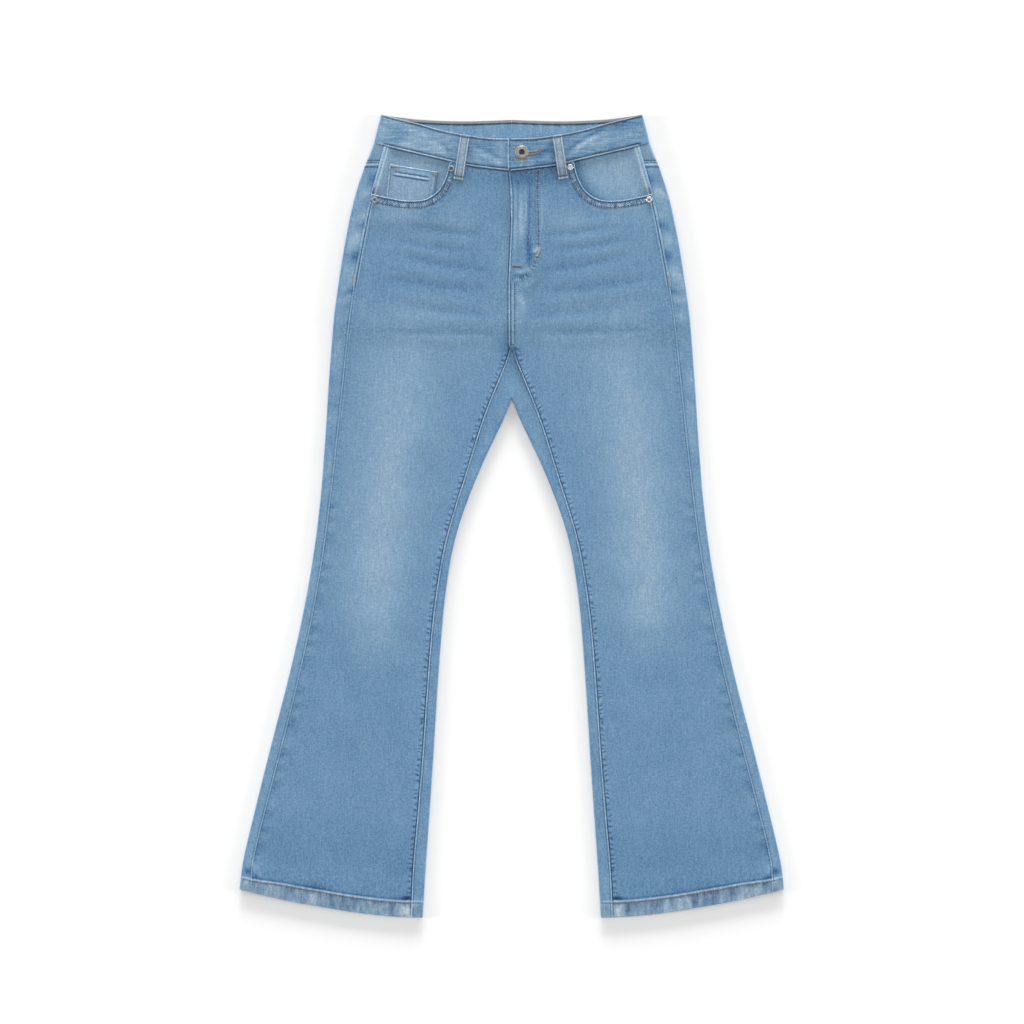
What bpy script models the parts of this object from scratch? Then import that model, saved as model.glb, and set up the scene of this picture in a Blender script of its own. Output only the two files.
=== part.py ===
# A pair of five pocket jeans, laid flat on a surface with the front up and the button done up.
# The waist points to +Y and the hems to -Y, +X is the wearer's left, and the surface is at Z 0.
# Lengths in this file are millimetres, and to_metres turns them into Blender's units.

import math
from collections import namedtuple

import bmesh
import bpy
from mathutils import Vector

MM = 0.001

# Cloth thicknesses and clearances
DENIM = 1.2            # wall of a panel
HEM_WALL = 2.4         # turned up hem
BAND_WALL = 2.2        # waistband, two layers
LOOP_WALL = 1.2        # belt loop and back pocket
FACING_WALL = 1.0      # hidden or inset flat layers
SEAM_GAP = 0.3         # between two pieces at a seam
HALF_GAP = SEAM_GAP / 2

# Heights of the layers above the surface
TRUNK_LIFT = LOOP_WALL + SEAM_GAP      # the seat lies on its pockets and loops
LIFT_START, LIFT_END = 215.0, 255.0    # where the seat rises to that height
PUFF_REACH = 32.0                      # how far a fold's fullness spreads over the top
FLY_LIFT = 1.5                         # left front over the zip
COIN_LIFT = 1.3                        # right front over the coin pocket
BAND_LEVEL = BAND_WALL + SEAM_GAP      # underside of the front waistband, above the back one
OVERLAP_LIFT = BAND_WALL + SEAM_GAP    # buttonhole end over the button end
FACING_LEVEL = DENIM + SEAM_GAP        # underside of the pocket facings and the fly shield
SECOND_LEVEL = FACING_LEVEL + FACING_WALL + SEAM_GAP   # underside of coin pocket and zip

# Heights along the garment, on Y
CROTCH = 220.0         # where the four leg seams meet
APEX = 153.0           # lowest point of the fold between the legs
KNEE = -110.0
HEM_OUTER = -488.6     # hem line at the outer fold
YOKE_SIDE = 463.0      # yoke seam at the side fold
YOKE_CENTRE = 412.0    # yoke seam at the centre back
YOKE_FADE = 330.0      # rows of the back panel are level below this
HEM_DEPTH = 14.0
FRONT_BLOCK = 375.0    # rows of the front panel are level below this

# Outer side of half the garment: distances from the centre line
OuterSection = namedtuple("OuterSection", "height fold seam")
OUTER = [
    OuterSection(525.3, 171.0, 155.0),
    OuterSection(488.6, 180.3, 164.3),
    OuterSection(453.3, 194.0, 173.8),
    OuterSection(414.0, 206.3, 184.9),
    OuterSection(361.6, 217.5, 195.8),
    OuterSection(309.2, 226.0, 205.4),
    OuterSection(256.8, 233.0, 213.0),
    OuterSection(178.2, 239.3, 221.5),
    OuterSection(99.6, 244.4, 229.7),
    OuterSection(21.0, 250.7, 238.6),
    OuterSection(-57.4, 260.7, 249.2),
    OuterSection(-135.9, 275.0, 263.2),
    OuterSection(-214.5, 293.0, 280.4),
    OuterSection(-293.0, 313.3, 299.8),
    OuterSection(-371.7, 333.0, 320.2),
    OuterSection(-450.6, 351.5, 339.2),
    OuterSection(-488.6, 356.5, 342.0),
]

# Inner side of one leg. Above the apex the back panels meet at the centre line.
InnerSection = namedtuple("InnerSection", "height fold seam")
INNER = [
    InnerSection(CROTCH, 0.0, 0.9),
    InnerSection(203.0, 0.0, 5.9),
    InnerSection(178.0, 0.0, 16.0),
    InnerSection(APEX, 0.2, 26.3),
    InnerSection(125.8, 11.1, 36.7),
    InnerSection(99.6, 23.6, 45.3),
    InnerSection(73.4, 36.0, 53.3),
    InnerSection(47.2, 47.2, 61.5),
    InnerSection(21.0, 57.6, 69.9),
    InnerSection(-5.2, 66.8, 77.8),
    InnerSection(-31.4, 74.4, 85.0),
    InnerSection(-57.6, 80.1, 90.6),
    InnerSection(-110.0, 87.8, 98.9),
    InnerSection(-162.0, 92.6, 104.6),
    InnerSection(-241.0, 98.2, 110.6),
    InnerSection(-320.0, 103.1, 116.0),
    InnerSection(-398.6, 108.4, 122.6),
    InnerSection(-463.7, 113.0, 128.0),
    InnerSection(-525.3, 116.6, 130.8),
]

# Edges of the waistband at distances from the centre line
WaistSection = namedtuple("WaistSection", "across front_top front_seam back_top back_seam")
WAIST = [
    WaistSection(0.0, 493.5, 451.5, 518.5, 480.0),
    WaistSection(30.0, 494.3, 454.8, 517.2, 478.5),
    WaistSection(60.0, 498.6, 459.0, 516.5, 478.0),
    WaistSection(90.0, 504.2, 466.3, 517.0, 478.5),
    WaistSection(125.0, 514.0, 474.4, 519.0, 480.8),
    WaistSection(150.0, 520.0, 480.2, 522.0, 484.0),
    WaistSection(171.0, 525.3, 485.6, 525.3, 487.2),
    WaistSection(180.3, 527.0, 488.6, 526.5, 488.6),
]

# Hem line of one leg
HemPoint = namedtuple("HemPoint", "across height")
HEM = [
    HemPoint(110.0, -525.3),
    HemPoint(135.0, -525.0),
    HemPoint(160.0, -523.6),
    HemPoint(207.0, -518.2),
    HemPoint(247.0, -511.6),
    HemPoint(289.0, -504.2),
    HemPoint(327.0, -495.8),
    HemPoint(360.0, -487.4),
]

# Height of the upper surface above the underside, in the middle and at a fold
LoftSection = namedtuple("LoftSection", "height middle fold")
LOFT = [
    LoftSection(525.3, 4.7, 5.6),
    LoftSection(470.0, 4.3, 5.4),
    LoftSection(415.0, 4.2, 5.0),
    LoftSection(330.0, 4.2, 4.9),
    LoftSection(200.0, 3.8, 4.8),
    LoftSection(0.0, 3.6, 4.8),
    LoftSection(-300.0, 3.6, 4.8),
    LoftSection(-525.3, 3.8, 4.8),
]
HEM_LOFT = LoftSection(0.0, 4.9, 5.2)
HEM_FADE = 45.0        # how far above the hem its thickness still lifts the cloth
HEM_RISE = 0.5         # step at the hem's upper edge
SEAM_RISE = 0.4        # seam allowances under a seam's edge
POCKET_RISE = 0.5      # turned edge of the front pocket opening

# Overlapping edge of the left front: its place across at each height
EdgePoint = namedtuple("EdgePoint", "height across")
FLY_EDGE = [
    EdgePoint(451.0, -3.7),
    EdgePoint(423.0, -0.6),
    EdgePoint(390.0, -0.3),
    EdgePoint(356.0, -1.6),
    EdgePoint(305.0, -3.7),
    EdgePoint(CROTCH, -3.7),
]
FLY_TUCK = 1.5         # how far the right front runs on under that edge
RISE_TUCK = 5.0        # the same below the fly
TUCK_START, TUCK_END = 280.0, 298.0    # where the one passes into the other
FLY_WIDTH = 37.0
RISE_WIDTH = 7.0       # lapped seam below the fly
FLY_SLOPE = 24.0
FLY_START, FLY_END = 286.0, 331.0      # where the seam's width passes into the fly's

# Front pocket opening, from its corner at the waistband to the side seam
PocketPoint = namedtuple("PocketPoint", "across height")
POCKET_EDGE = [
    PocketPoint(81.2, 463.6),
    PocketPoint(86.3, 443.5),
    PocketPoint(96.5, 425.4),
    PocketPoint(114.0, 414.0),
    PocketPoint(138.0, 412.5),
    PocketPoint(162.0, 416.4),
    PocketPoint(183.2, 421.2),
]
# The facing of that opening: along the waist seam, past the opening's points, up the side seam
FACING_TOP = [164.0, 150.0, 132.0, 115.0, 97.0, 84.0, 72.0]
FACING_STEPS = [(1, (-11.0, -4.0)), (2, (-8.0, -9.0)), (3, (0.0, -11.0)), (4, (0.0, -11.0)), (5, (0.0, -11.0))]
FACING_SIDE = [409.0, 430.0, 450.0, 470.0]
FACING_TUCK = 2.0      # how far it runs on under that seam

# Columns of a front panel: fraction of its width below the pocket
FRONT_COLUMNS = [0.0, 0.05, 0.18, 0.31, 0.42, 0.46, 0.5, 0.55, 0.61, 0.68, 0.76, 0.85, 0.94, 1.0]
FRONT_WAIST_COLUMNS = [0.0, 0.13, 0.42, 0.72]      # up to the pocket corner
POCKET_COLUMNS = [0.0, 0.7, 1.4, 2.0, 2.6, 3.3, 4.0, 4.7, 5.4, 6.0]     # along the opening's points
FRONT_BLOCK_ROWS = [0.0, 0.22, 0.28, 0.6]
POCKET_TURN = 0.25     # share of that block under the opening's turned edge

# Rows below the knee, as fractions of the way to the hem
SHIN_ROWS = [0.07, 0.15, 0.23, 0.31, 0.39, 0.47, 0.55, 0.63, 0.71, 0.79, 0.86, 0.92, 0.957, 0.963, 0.982, 1.0]
THIGH_ROWS = [APEX, 139.0, 125.0, 99.0, 73.0, 47.0, 21.0, -5.0, -31.0, -57.0, -84.0, KNEE]
SEAT_ROWS = [YOKE_SIDE, 440.0, 414.0, 385.0, 357.0, YOKE_FADE, 290.0, LIFT_END, 235.0, LIFT_START, 184.0, 156.5]
STRIP_ROWS = [CROTCH - 0.8, 203.0, 184.0, 167.0, 156.5]
FRONT_ROWS = [FRONT_BLOCK, 345.0, 315.0, 285.0, LIFT_END, 235.0, CROTCH + 1.0, CROTCH - 0.5,
              203.0, 184.0, 167.0]
FOLD_STEPS = 4         # faces round a fold
UNDER_COLUMNS = [0.0, 0.2, 0.4, 0.6, 0.8, 1.0]     # across the underside
MARGIN_STEPS = 2       # faces from a fold to the seam beside it
YOKE_ROWS = [1.0, 0.5, 0.0]

# Waistband ends at the centre front, and fractions along each half
BAND_FRONT_COLUMNS = [0.0, 0.1, 0.2, 0.32, 0.46, 0.62, 0.8, 1.0]
BAND_BACK_COLUMNS = [0.0, 0.25, 0.5, 0.75, 1.0]
BAND_ROWS = [0.0, 0.5, 1.0]
BAND_MIDDLE = 507.0
BAND_FADE = 40.0       # how far from the fold the front waistband leaves its level
OVERLAP_END = -5.0     # buttonhole end of the left half
UNDERLAP_END = 30.0    # button end of the right half, under the other
OVERLAP_FLAT, OVERLAP_FADE = 36.0, 44.0

# Belt loops: where each runs from and to, and whether it lies on the top or under the back
LoopPlace = namedtuple("LoopPlace", "name top_x top_y low_x low_y on_top")
LOOPS = [
    LoopPlace("loop_front_right", -61.3, 497.6, -70.1, 439.5, True),
    LoopPlace("loop_front_left", 59.2, 497.6, 67.6, 440.5, True),
    LoopPlace("loop_side_right", -122.0, 518.0, -124.0, 461.0, False),
    LoopPlace("loop_side_left", 122.0, 518.0, 124.0, 461.0, False),
    LoopPlace("loop_centre_back", 0.0, 517.5, 0.0, 459.0, False),
]
LOOP_WIDTH = 13.0
LOOP_BULGE = 0.8
LOOP_STEP = (14.0, 1.0)    # below the waist seam, where a loop climbs onto the waistband
LOOP_ROWS = [0.0, 0.07, 0.2, 0.4, 0.6, 0.75, 0.9, 1.0]

# Back pocket of one side, under the back panel
BACK_POCKET = [(40.0, 386.0), (176.0, 407.0), (169.0, 283.0), (110.0, 251.0), (46.0, 268.0)]

# Coin pocket on the right facing, running on under the front
COIN_POCKET = [(-159.6, 460.3), (-96.2, 450.1), (-103.5, 407.0), (-165.0, 404.5)]
# The right front rises over it between these distances from the centre line, and these heights
COIN_INNER = (58.0, 84.0)
COIN_OUTER = (180.0, 196.0)
COIN_LOWER = (362.0, 396.0)

# Fly shield and zip, both hidden
FLY_SHIELD = [(-7.0, 449.8), (34.0, 453.6), (34.0, 330.0), (22.0, 304.0), (-7.0, 296.0)]
ZIP = [(2.6, 449.8), (27.0, 452.8), (27.0, 314.0), (2.6, 310.0)]

# Button and rivets
BUTTON_AT = (13.1, 475.4)
BUTTON_RADIUS = 8.75
SHANK_RADIUS = 2.5
BUTTON_FOOT_RADIUS = 8.35
BUTTON_PROFILE = [(0.0, 1.7), (2.9, 1.8), (3.6, 2.6), (4.6, 3.1), (6.6, 3.0), (8.2, 2.1),
                  (BUTTON_RADIUS, 1.1), (BUTTON_FOOT_RADIUS, 0.0)]
BUTTONHOLE_RADIUS = 3.4
BUTTONHOLE_SLIT = 28.0
BUTTONHOLE_ANGLE = math.radians(9.5)
BUTTONHOLE_DEPTH = 4.4
SLIT_WIDTH = 1.0
RIVET_PROFILE = [(0.0, 1.0), (0.9, 1.0), (1.5, 0.75), (2.6, 1.3), (3.6, 1.1), (4.2, 0.4), (4.2, 0.0), (0.0, 0.0)]
RIVET_PLACES = [(-179.4, 413.2), (-79.3, 454.2), (76.4, 456.0), (179.6, 413.6)]
ROUND_STEPS = 20

# Colours are linear, then roughness and metallic
Finish = namedtuple("Finish", "colour roughness metallic")
FADED_DENIM = Finish((0.20, 0.34, 0.50), 0.9, 0.0)
DARKER_DENIM = Finish((0.12, 0.24, 0.40), 0.9, 0.0)
LOOP_DENIM = Finish((0.30, 0.40, 0.50), 0.9, 0.0)
ZIP_TAPE = Finish((0.10, 0.14, 0.22), 0.8, 0.0)
COPPER = Finish((0.36, 0.20, 0.12), 0.4, 1.0)
NICKEL = Finish((0.62, 0.62, 0.62), 0.35, 1.0)

RIGHT, LEFT = -1, 1


def clear_scene():
    for thing in list(bpy.data.objects):
        bpy.data.objects.remove(thing, do_unlink=True)


def new_collection(name):
    collection = bpy.data.collections.new(name)
    bpy.context.scene.collection.children.link(collection)
    return collection


def to_metres(x, y, z):
    return Vector((x * MM, y * MM, z * MM))


def mix(a, b, t):
    return a + (b - a) * t


def ease(value, start, end):
    # 0 before start and 1 after end, with a smooth rise between them
    t = min(1.0, max(0.0, (value - start) / (end - start)))
    return t * t * (3.0 - 2.0 * t)


def read_curve(points, value):
    # Smooth curve through (position, height) points, whichever way they run
    if points[0][0] > points[-1][0]:
        points = points[::-1]
    value = min(max(value, points[0][0]), points[-1][0])
    last = len(points) - 1
    i = max(k for k in range(last) if points[k][0] <= value or k == 0)
    (x0, y0), (x1, y1) = points[i], points[i + 1]
    before = points[max(0, i - 1)]
    after = points[min(last, i + 2)]
    span = x1 - x0
    slope0 = (y1 - before[1]) / (x1 - before[0])
    slope1 = (after[1] - y0) / (after[0] - x0)
    t = (value - x0) / span
    stay = 2 * t ** 3 - 3 * t ** 2 + 1
    leave = t ** 3 - 2 * t ** 2 + t
    arrive = t ** 3 - t ** 2
    return stay * y0 + leave * span * slope0 + (1 - stay) * y1 + arrive * span * slope1


def outer_fold(y):
    return read_curve([(s.height, s.fold) for s in OUTER], y)


def side_seam(y):
    return read_curve([(s.height, s.seam) for s in OUTER], y)


def inner_fold(y):
    return read_curve([(s.height, s.fold) for s in INNER if s.height <= APEX], y)


def inseam(y):
    return read_curve([(s.height, s.seam) for s in INNER], y)


def waist_line(name, x):
    return read_curve([(s.across, getattr(s, name)) for s in WAIST], abs(x))


def hem_line(x):
    return read_curve([(p.across, p.height) for p in HEM], abs(x))


def fly_edge(y):
    return read_curve([(p.height, p.across) for p in FLY_EDGE], y)


def yoke_line(x):
    return mix(YOKE_CENTRE, YOKE_SIDE, (abs(x) / outer_fold(YOKE_SIDE)) ** 1.1)


def row_height(row, x, underside=False):
    # Height of a row of the cloth: it follows the hem at the bottom and the yoke seam at the back
    if row < KNEE:
        return mix(KNEE, hem_line(x), (row - KNEE) / (HEM_OUTER - KNEE))
    if underside and row > YOKE_FADE:
        return row + (yoke_line(x) - YOKE_SIDE) * (row - YOKE_FADE) / (YOKE_SIDE - YOKE_FADE)
    return row


def on_edge(edge, row):
    # Where a row of the cloth meets an edge that is given by height
    y = row
    for _ in range(8):
        y = row_height(row, edge(y))
    return edge(y), y


def trunk_lift(y):
    return TRUNK_LIFT * ease(y, LIFT_START, LIFT_END)


def loft(x, y):
    # Upper surface above the underside: low in the middle, fuller beside the folds
    x = abs(x)
    middle = read_curve([(s.height, s.middle) for s in LOFT], y)
    fold = read_curve([(s.height, s.fold) for s in LOFT], y)
    near_hem = 1.0 - ease(y - hem_line(x), HEM_DEPTH, HEM_DEPTH + HEM_FADE) if y < KNEE else 0.0
    turned = 1.0 - ease(y - hem_line(x), HEM_DEPTH + 0.2, HEM_DEPTH + 2.2) if y < KNEE else 0.0
    middle = mix(middle, HEM_LOFT.middle, near_hem) + HEM_RISE * turned
    fold = mix(fold, HEM_LOFT.fold, near_hem) + HEM_RISE * turned
    from_outer = max(0.0, outer_fold(y) - x)
    from_inner = x - inner_fold(y) if y < APEX else math.hypot(x, y - APEX)
    puff = max(0.0, 1.0 - from_outer / PUFF_REACH) ** 2
    puff = max(puff, max(0.0, 1.0 - max(0.0, from_inner) / PUFF_REACH) ** 2)
    return mix(middle, fold, puff)


def fly_rise(x, y):
    # The left front is raised over the zip, and over the lapped seam below it
    width = mix(RISE_WIDTH, FLY_WIDTH, ease(y, FLY_START, FLY_END))
    return FLY_LIFT * (1.0 - ease(x, width, width + FLY_SLOPE))


def coin_rise(x, y):
    across = ease(-x, *COIN_INNER) * (1.0 - ease(-x, *COIN_OUTER))
    return COIN_LIFT * across * ease(y, *COIN_LOWER)


def top_surface(x, y, side):
    z = trunk_lift(y) + loft(x, y)
    if side == LEFT:
        z += fly_rise(x, y)
    else:
        z += coin_rise(x, y)
    return z


def band_underside(x, side):
    # Underside of the front waistband, above the back waistband
    rise = 0.0
    if side == LEFT:
        rise = OVERLAP_LIFT * (1.0 - ease(x, OVERLAP_FLAT, OVERLAP_FLAT + OVERLAP_FADE))
    return TRUNK_LIFT + BAND_LEVEL + rise


def band_surface(x, side):
    return band_underside(x, side) + BAND_WALL


def loft_rows(bm, rows, flip):
    # Faces between rows of points. A point is x, y, z and the wall there as a share of the thickest.
    layer = bm.verts.layers.deform.verify()
    grid = []
    for row in rows:
        line = []
        for x, y, z, share in row:
            vert = bm.verts.new(to_metres(x, y, z))
            vert[layer][0] = share
            line.append(vert)
        grid.append(line)
    for upper, lower in zip(grid, grid[1:]):
        for k in range(len(upper) - 1):
            corners = [upper[k], lower[k], lower[k + 1], upper[k + 1]]
            bm.faces.new(corners[::-1] if flip else corners)


def make_material(name, finish):
    material = bpy.data.materials.new(name)
    material.use_nodes = True
    shader = material.node_tree.nodes["Principled BSDF"]
    shader.inputs["Base Color"].default_value = (*finish.colour, 1.0)
    shader.inputs["Roughness"].default_value = finish.roughness
    shader.inputs["Metallic"].default_value = finish.metallic
    return material


def add_object(name, mesh, collection, finish):
    thing = bpy.data.objects.new(name, mesh)
    if finish is not None:
        mesh.materials.clear()
        mesh.materials.append(make_material(name, finish))
    collection.objects.link(thing)
    return thing


def add_cloth(name, patches, thickness, collection, finish):
    # Patches are (rows, flip) pairs whose faces point outwards; the wall goes inwards
    bm = bmesh.new()
    for rows, flip in patches:
        loft_rows(bm, rows, flip)
    bmesh.ops.remove_doubles(bm, verts=bm.verts, dist=0.00002)
    mesh = bpy.data.meshes.new(name)
    bm.to_mesh(mesh)
    bm.free()
    mesh.shade_smooth()
    thing = add_object(name, mesh, collection, finish)
    thing.vertex_groups.new(name="wall")
    shell = thing.modifiers.new("wall", "SOLIDIFY")
    shell.thickness = thickness * MM
    shell.offset = -1.0
    shell.use_even_offset = True
    shell.vertex_group = "wall"
    return thing


def add_plate(name, outline, underside, thickness, collection, finish):
    # A flat layer cut to an outline of (x, y) points
    curve = bpy.data.curves.new(name, "CURVE")
    curve.dimensions = "2D"
    curve.fill_mode = "BOTH"
    curve.extrude = thickness * MM / 2
    spline = curve.splines.new("POLY")
    spline.points.add(len(outline) - 1)
    for point, (x, y) in zip(spline.points, outline):
        point.co = (x * MM, y * MM, 0.0, 1.0)
    spline.use_cyclic_u = True
    guide = bpy.data.objects.new(name + "_outline", curve)
    collection.objects.link(guide)
    guide.location.z = (underside + thickness / 2) * MM
    bpy.context.view_layer.update()
    mesh = bpy.data.meshes.new_from_object(guide.evaluated_get(bpy.context.evaluated_depsgraph_get()))
    bm = bmesh.new()
    bm.from_mesh(mesh)
    bmesh.ops.remove_doubles(bm, verts=bm.verts, dist=0.00001)
    bm.to_mesh(mesh)
    bm.free()
    thing = add_object(name, mesh, collection, finish)
    thing.matrix_world = guide.matrix_world
    bpy.data.objects.remove(guide, do_unlink=True)
    return thing


def add_turned(name, profile, place, collection, finish):
    # A profile of (radius, height) points turned about the vertical axis
    mesh = bpy.data.meshes.new(name)
    edges = [(k, k + 1) for k in range(len(profile) - 1)]
    mesh.from_pydata([to_metres(r, 0.0, z) for r, z in profile], edges, [])
    thing = add_object(name, mesh, collection, finish)
    thing.location = to_metres(*place)
    turn = thing.modifiers.new("turn", "SCREW")
    turn.axis = "Z"
    turn.steps = ROUND_STEPS
    turn.render_steps = ROUND_STEPS
    turn.use_merge_vertices = True
    turn.merge_threshold = 0.00001
    turn.use_smooth_shade = True
    return thing


def fold_arc(x_fold, y, bottom, top, outwards, share):
    # Points round a fold, from the underside to the top, without its two ends
    radius = (top - bottom) / 2
    points = []
    for k in range(1, FOLD_STEPS):
        angle = math.pi * k / FOLD_STEPS
        x = x_fold - outwards * radius * (1.0 - math.sin(angle))
        points.append((x, y, bottom + radius * (1.0 - math.cos(angle)), share))
    return points


def mirrored(row, side):
    return [(side * x, y, z, share) for x, y, z, share in row]


def hem_share(row):
    # The wall is full at the hem and half of that elsewhere
    depth = (row - KNEE) / (HEM_OUTER - KNEE)
    return 1.0 if depth > 0.96 else DENIM / HEM_WALL


def leg_rows():
    shin = [mix(KNEE, HEM_OUTER, f) for f in SHIN_ROWS]
    return THIGH_ROWS + shin


def margin(row, edge, fold, inward):
    # Points on the top from a fold to the seam beside it
    x_fold, y_fold = on_edge(fold, row)
    x_seam, y_seam = on_edge(edge, row)
    share = hem_share(row)
    radius = fold_radius(x_fold, y_fold, inward)
    x_start = x_fold + inward * radius
    x_end = x_seam - inward * HALF_GAP
    points = []
    for k in range(MARGIN_STEPS + 1):
        x = mix(x_start, x_end, k / MARGIN_STEPS)
        y = row_height(row, x)
        z = trunk_lift(y) + loft(x, y) + (SEAM_RISE if k == MARGIN_STEPS else 0.0)
        if k == 0:
            z = trunk_lift(y) + 2 * radius
        points.append((x, y, z, share))
    return points


def fold_radius(x_fold, y_fold, inward):
    return loft(x_fold + inward * 2.5, y_fold) / 2


def back_row(row):
    # The underside from the centre or the inner fold, round the outer fold to the side seam
    x_fold, y_fold = on_edge(outer_fold, row)
    share = hem_share(row)
    radius = fold_radius(x_fold, y_fold, -1)
    if row > APEX:
        x_start = HALF_GAP
    else:
        x_in, y_in = on_edge(inner_fold, row)
        x_start = x_in + fold_radius(x_in, y_in, 1)
    x_end = x_fold - radius
    points = []
    for t in UNDER_COLUMNS:
        x = mix(x_start, x_end, t)
        y = row_height(row, x, underside=True)
        points.append((x, y, trunk_lift(y), share))
    bottom = trunk_lift(y_fold)
    points += fold_arc(x_fold, y_fold, bottom, bottom + 2 * radius, 1, share)
    points += margin(row, side_seam, outer_fold, -1)
    return points


def inner_arc_row(row):
    x_fold, y_fold = on_edge(inner_fold, row)
    share = hem_share(row)
    radius = fold_radius(x_fold, y_fold, 1)
    bottom = trunk_lift(y_fold)
    start = back_row(row)[0]
    end = margin(row, inseam, inner_fold, 1)[0]
    return [start] + fold_arc(x_fold, y_fold, bottom, bottom + 2 * radius, -1, share) + [end]


def crotch_row(row):
    # On the top, from the centre seam above the apex to the inseam
    x_end = inseam(row) - HALF_GAP
    points = []
    for t in (0.0, 0.5, 1.0):
        x = mix(HALF_GAP, x_end, t)
        z = trunk_lift(row) + loft(x, row)
        points.append((x, row, z, DENIM / HEM_WALL))
    return points


def add_back_panel(name, side, collection):
    legs = leg_rows()
    seat = [YOKE_SIDE - SEAM_GAP] + SEAT_ROWS[1:]
    under = [mirrored(back_row(row), side) for row in seat + legs]
    arcs = [mirrored(inner_arc_row(row), side) for row in legs]
    top = [mirrored(crotch_row(row), side) for row in STRIP_ROWS]
    top += [mirrored(margin(row, inseam, inner_fold, 1), side) for row in legs]
    flip = side == RIGHT
    patches = [(under, not flip), (arcs, flip), (top, flip)]
    return add_cloth(name, patches, HEM_WALL, collection, FADED_DENIM)


def front_inner(y, side):
    # Inner edge of a front panel: the fly edge, then the inseam
    if y > CROTCH + HALF_GAP:
        edge = fly_edge(y)
        tuck = mix(RISE_TUCK, FLY_TUCK, ease(y, TUCK_START, TUCK_END))
        return edge if side == LEFT else -(edge + tuck)
    return inseam(min(y, CROTCH)) + HALF_GAP


def front_top_points(side):
    # Upper edge of a front panel: along the waistband, then round the pocket opening
    start = front_inner(FLY_EDGE[0].height, side)
    corner = POCKET_EDGE[0].across
    points = []
    for t in FRONT_WAIST_COLUMNS:
        x = mix(start, corner, t)
        points.append((x, waist_line("front_seam", x) - SEAM_GAP))
    for place in POCKET_COLUMNS:
        across = read_curve(list(enumerate(p.across for p in POCKET_EDGE)), place)
        height = read_curve(list(enumerate(p.height for p in POCKET_EDGE)), place)
        points.append((across, height))
    points[-1] = (side_seam(points[-1][1]) - HALF_GAP, points[-1][1])
    return points


def front_row(row, side, top_points, sink):
    x_out, y_out = on_edge(side_seam, row)
    x_in, y_in = on_edge(lambda y: front_inner(y, side), row)
    share = hem_share(row)
    points = []
    for k, u in enumerate(FRONT_COLUMNS):
        x = mix(x_in, x_out - HALF_GAP, u)
        y = row_height(row, x)
        if top_points is not None:
            x_top, y_top = top_points[k]
            x = mix(x_top, x, sink)
            y = mix(y_top, y, sink)
            if k == 0:
                x = front_inner(y, side)
            if k == len(FRONT_COLUMNS) - 1:
                x = side_seam(y) - HALF_GAP
        z = top_surface(side * x, y, side)
        at_seam = k == len(FRONT_COLUMNS) - 1 or (k == 0 and row < CROTCH)
        if at_seam:
            z += SEAM_RISE
        elif top_points is not None and sink < POCKET_TURN and k >= len(FRONT_WAIST_COLUMNS):
            z += POCKET_RISE
        points.append((x, y, z, share))
    return points


def add_front_panel(name, side, collection):
    top_points = front_top_points(side)
    rows = [front_row(FRONT_BLOCK, side, top_points, f) for f in FRONT_BLOCK_ROWS]
    rows += [front_row(level, side, None, 1.0) for level in FRONT_ROWS + leg_rows()]
    rows = [mirrored(row, side) for row in rows]
    return add_cloth(name, [(rows, side == RIGHT)], HEM_WALL, collection, FADED_DENIM)


def add_yoke(name, side, collection):
    rows = []
    for v in YOKE_ROWS:
        level = mix(YOKE_SIDE, OUTER[1].height - SEAM_GAP, v)
        x_fold = outer_fold(level)
        radius = fold_radius(x_fold, level, -1)
        row = []
        for t in UNDER_COLUMNS:
            x = mix(HALF_GAP, x_fold - radius, t)
            y = mix(yoke_line(x), waist_line("back_seam", x) - SEAM_GAP, v)
            row.append((x, y, TRUNK_LIFT, 1.0))
        row += fold_arc(x_fold, level, TRUNK_LIFT, TRUNK_LIFT + 2 * radius, 1, 1.0)
        x_start = x_fold - radius
        for t in (0.0, 0.5, 1.0):
            x_end = side_seam(level) + HALF_GAP
            x = mix(x_start, x_end, t)
            y = mix(YOKE_SIDE, waist_line("front_seam", x) - SEAM_GAP, v)
            z = TRUNK_LIFT + (2 * radius if t == 0.0 else loft(x, y) + SEAM_RISE * (t == 1.0))
            row.append((x, y, z, 1.0))
        rows.append(mirrored(row, side))
    return add_cloth(name, [(rows, side == LEFT)], DENIM, collection, FADED_DENIM)


def band_point(fraction, v, line_top, line_seam):
    # Place on a half of the waistband: fraction of the way out, and share of its height
    x_low = fraction * outer_fold(OUTER[1].height)
    x_top = fraction * outer_fold(OUTER[0].height)
    y = mix(waist_line(line_seam, x_low), waist_line(line_top, x_top), v)
    return mix(x_low, x_top, v), y


def add_waistband(name, side, collection):
    end = OVERLAP_END if side == LEFT else -UNDERLAP_END
    rows = []
    for v in BAND_ROWS:
        row = []
        width = band_point(1.0, v, "front_top", "front_seam")[0]
        radius = read_curve([(s.height, s.fold) for s in LOFT], BAND_MIDDLE) / 2
        for t in BAND_FRONT_COLUMNS:
            x = mix(end, width - radius, t)
            y = band_point(x / width, v, "front_top", "front_seam")[1]
            z = band_surface(x, side) if side == LEFT else band_surface(-x, side)
            z = mix(z, TRUNK_LIFT + 2 * radius, ease(x, width - BAND_FADE, width - radius))
            row.append((x, y, z, 1.0))
        y_fold = band_point(1.0, v, "front_top", "front_seam")[1]
        arc = fold_arc(width, y_fold, TRUNK_LIFT, TRUNK_LIFT + 2 * radius, 1, 1.0)
        row += arc[::-1]
        for t in BAND_BACK_COLUMNS:
            x = mix(width - radius, HALF_GAP, t)
            y = band_point(x / width, v, "back_top", "back_seam")[1]
            row.append((x, y, TRUNK_LIFT, 1.0))
        rows.append(mirrored(row, side))
    return add_cloth(name, [(rows, side == LEFT)], BAND_WALL, collection, FADED_DENIM)


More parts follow.
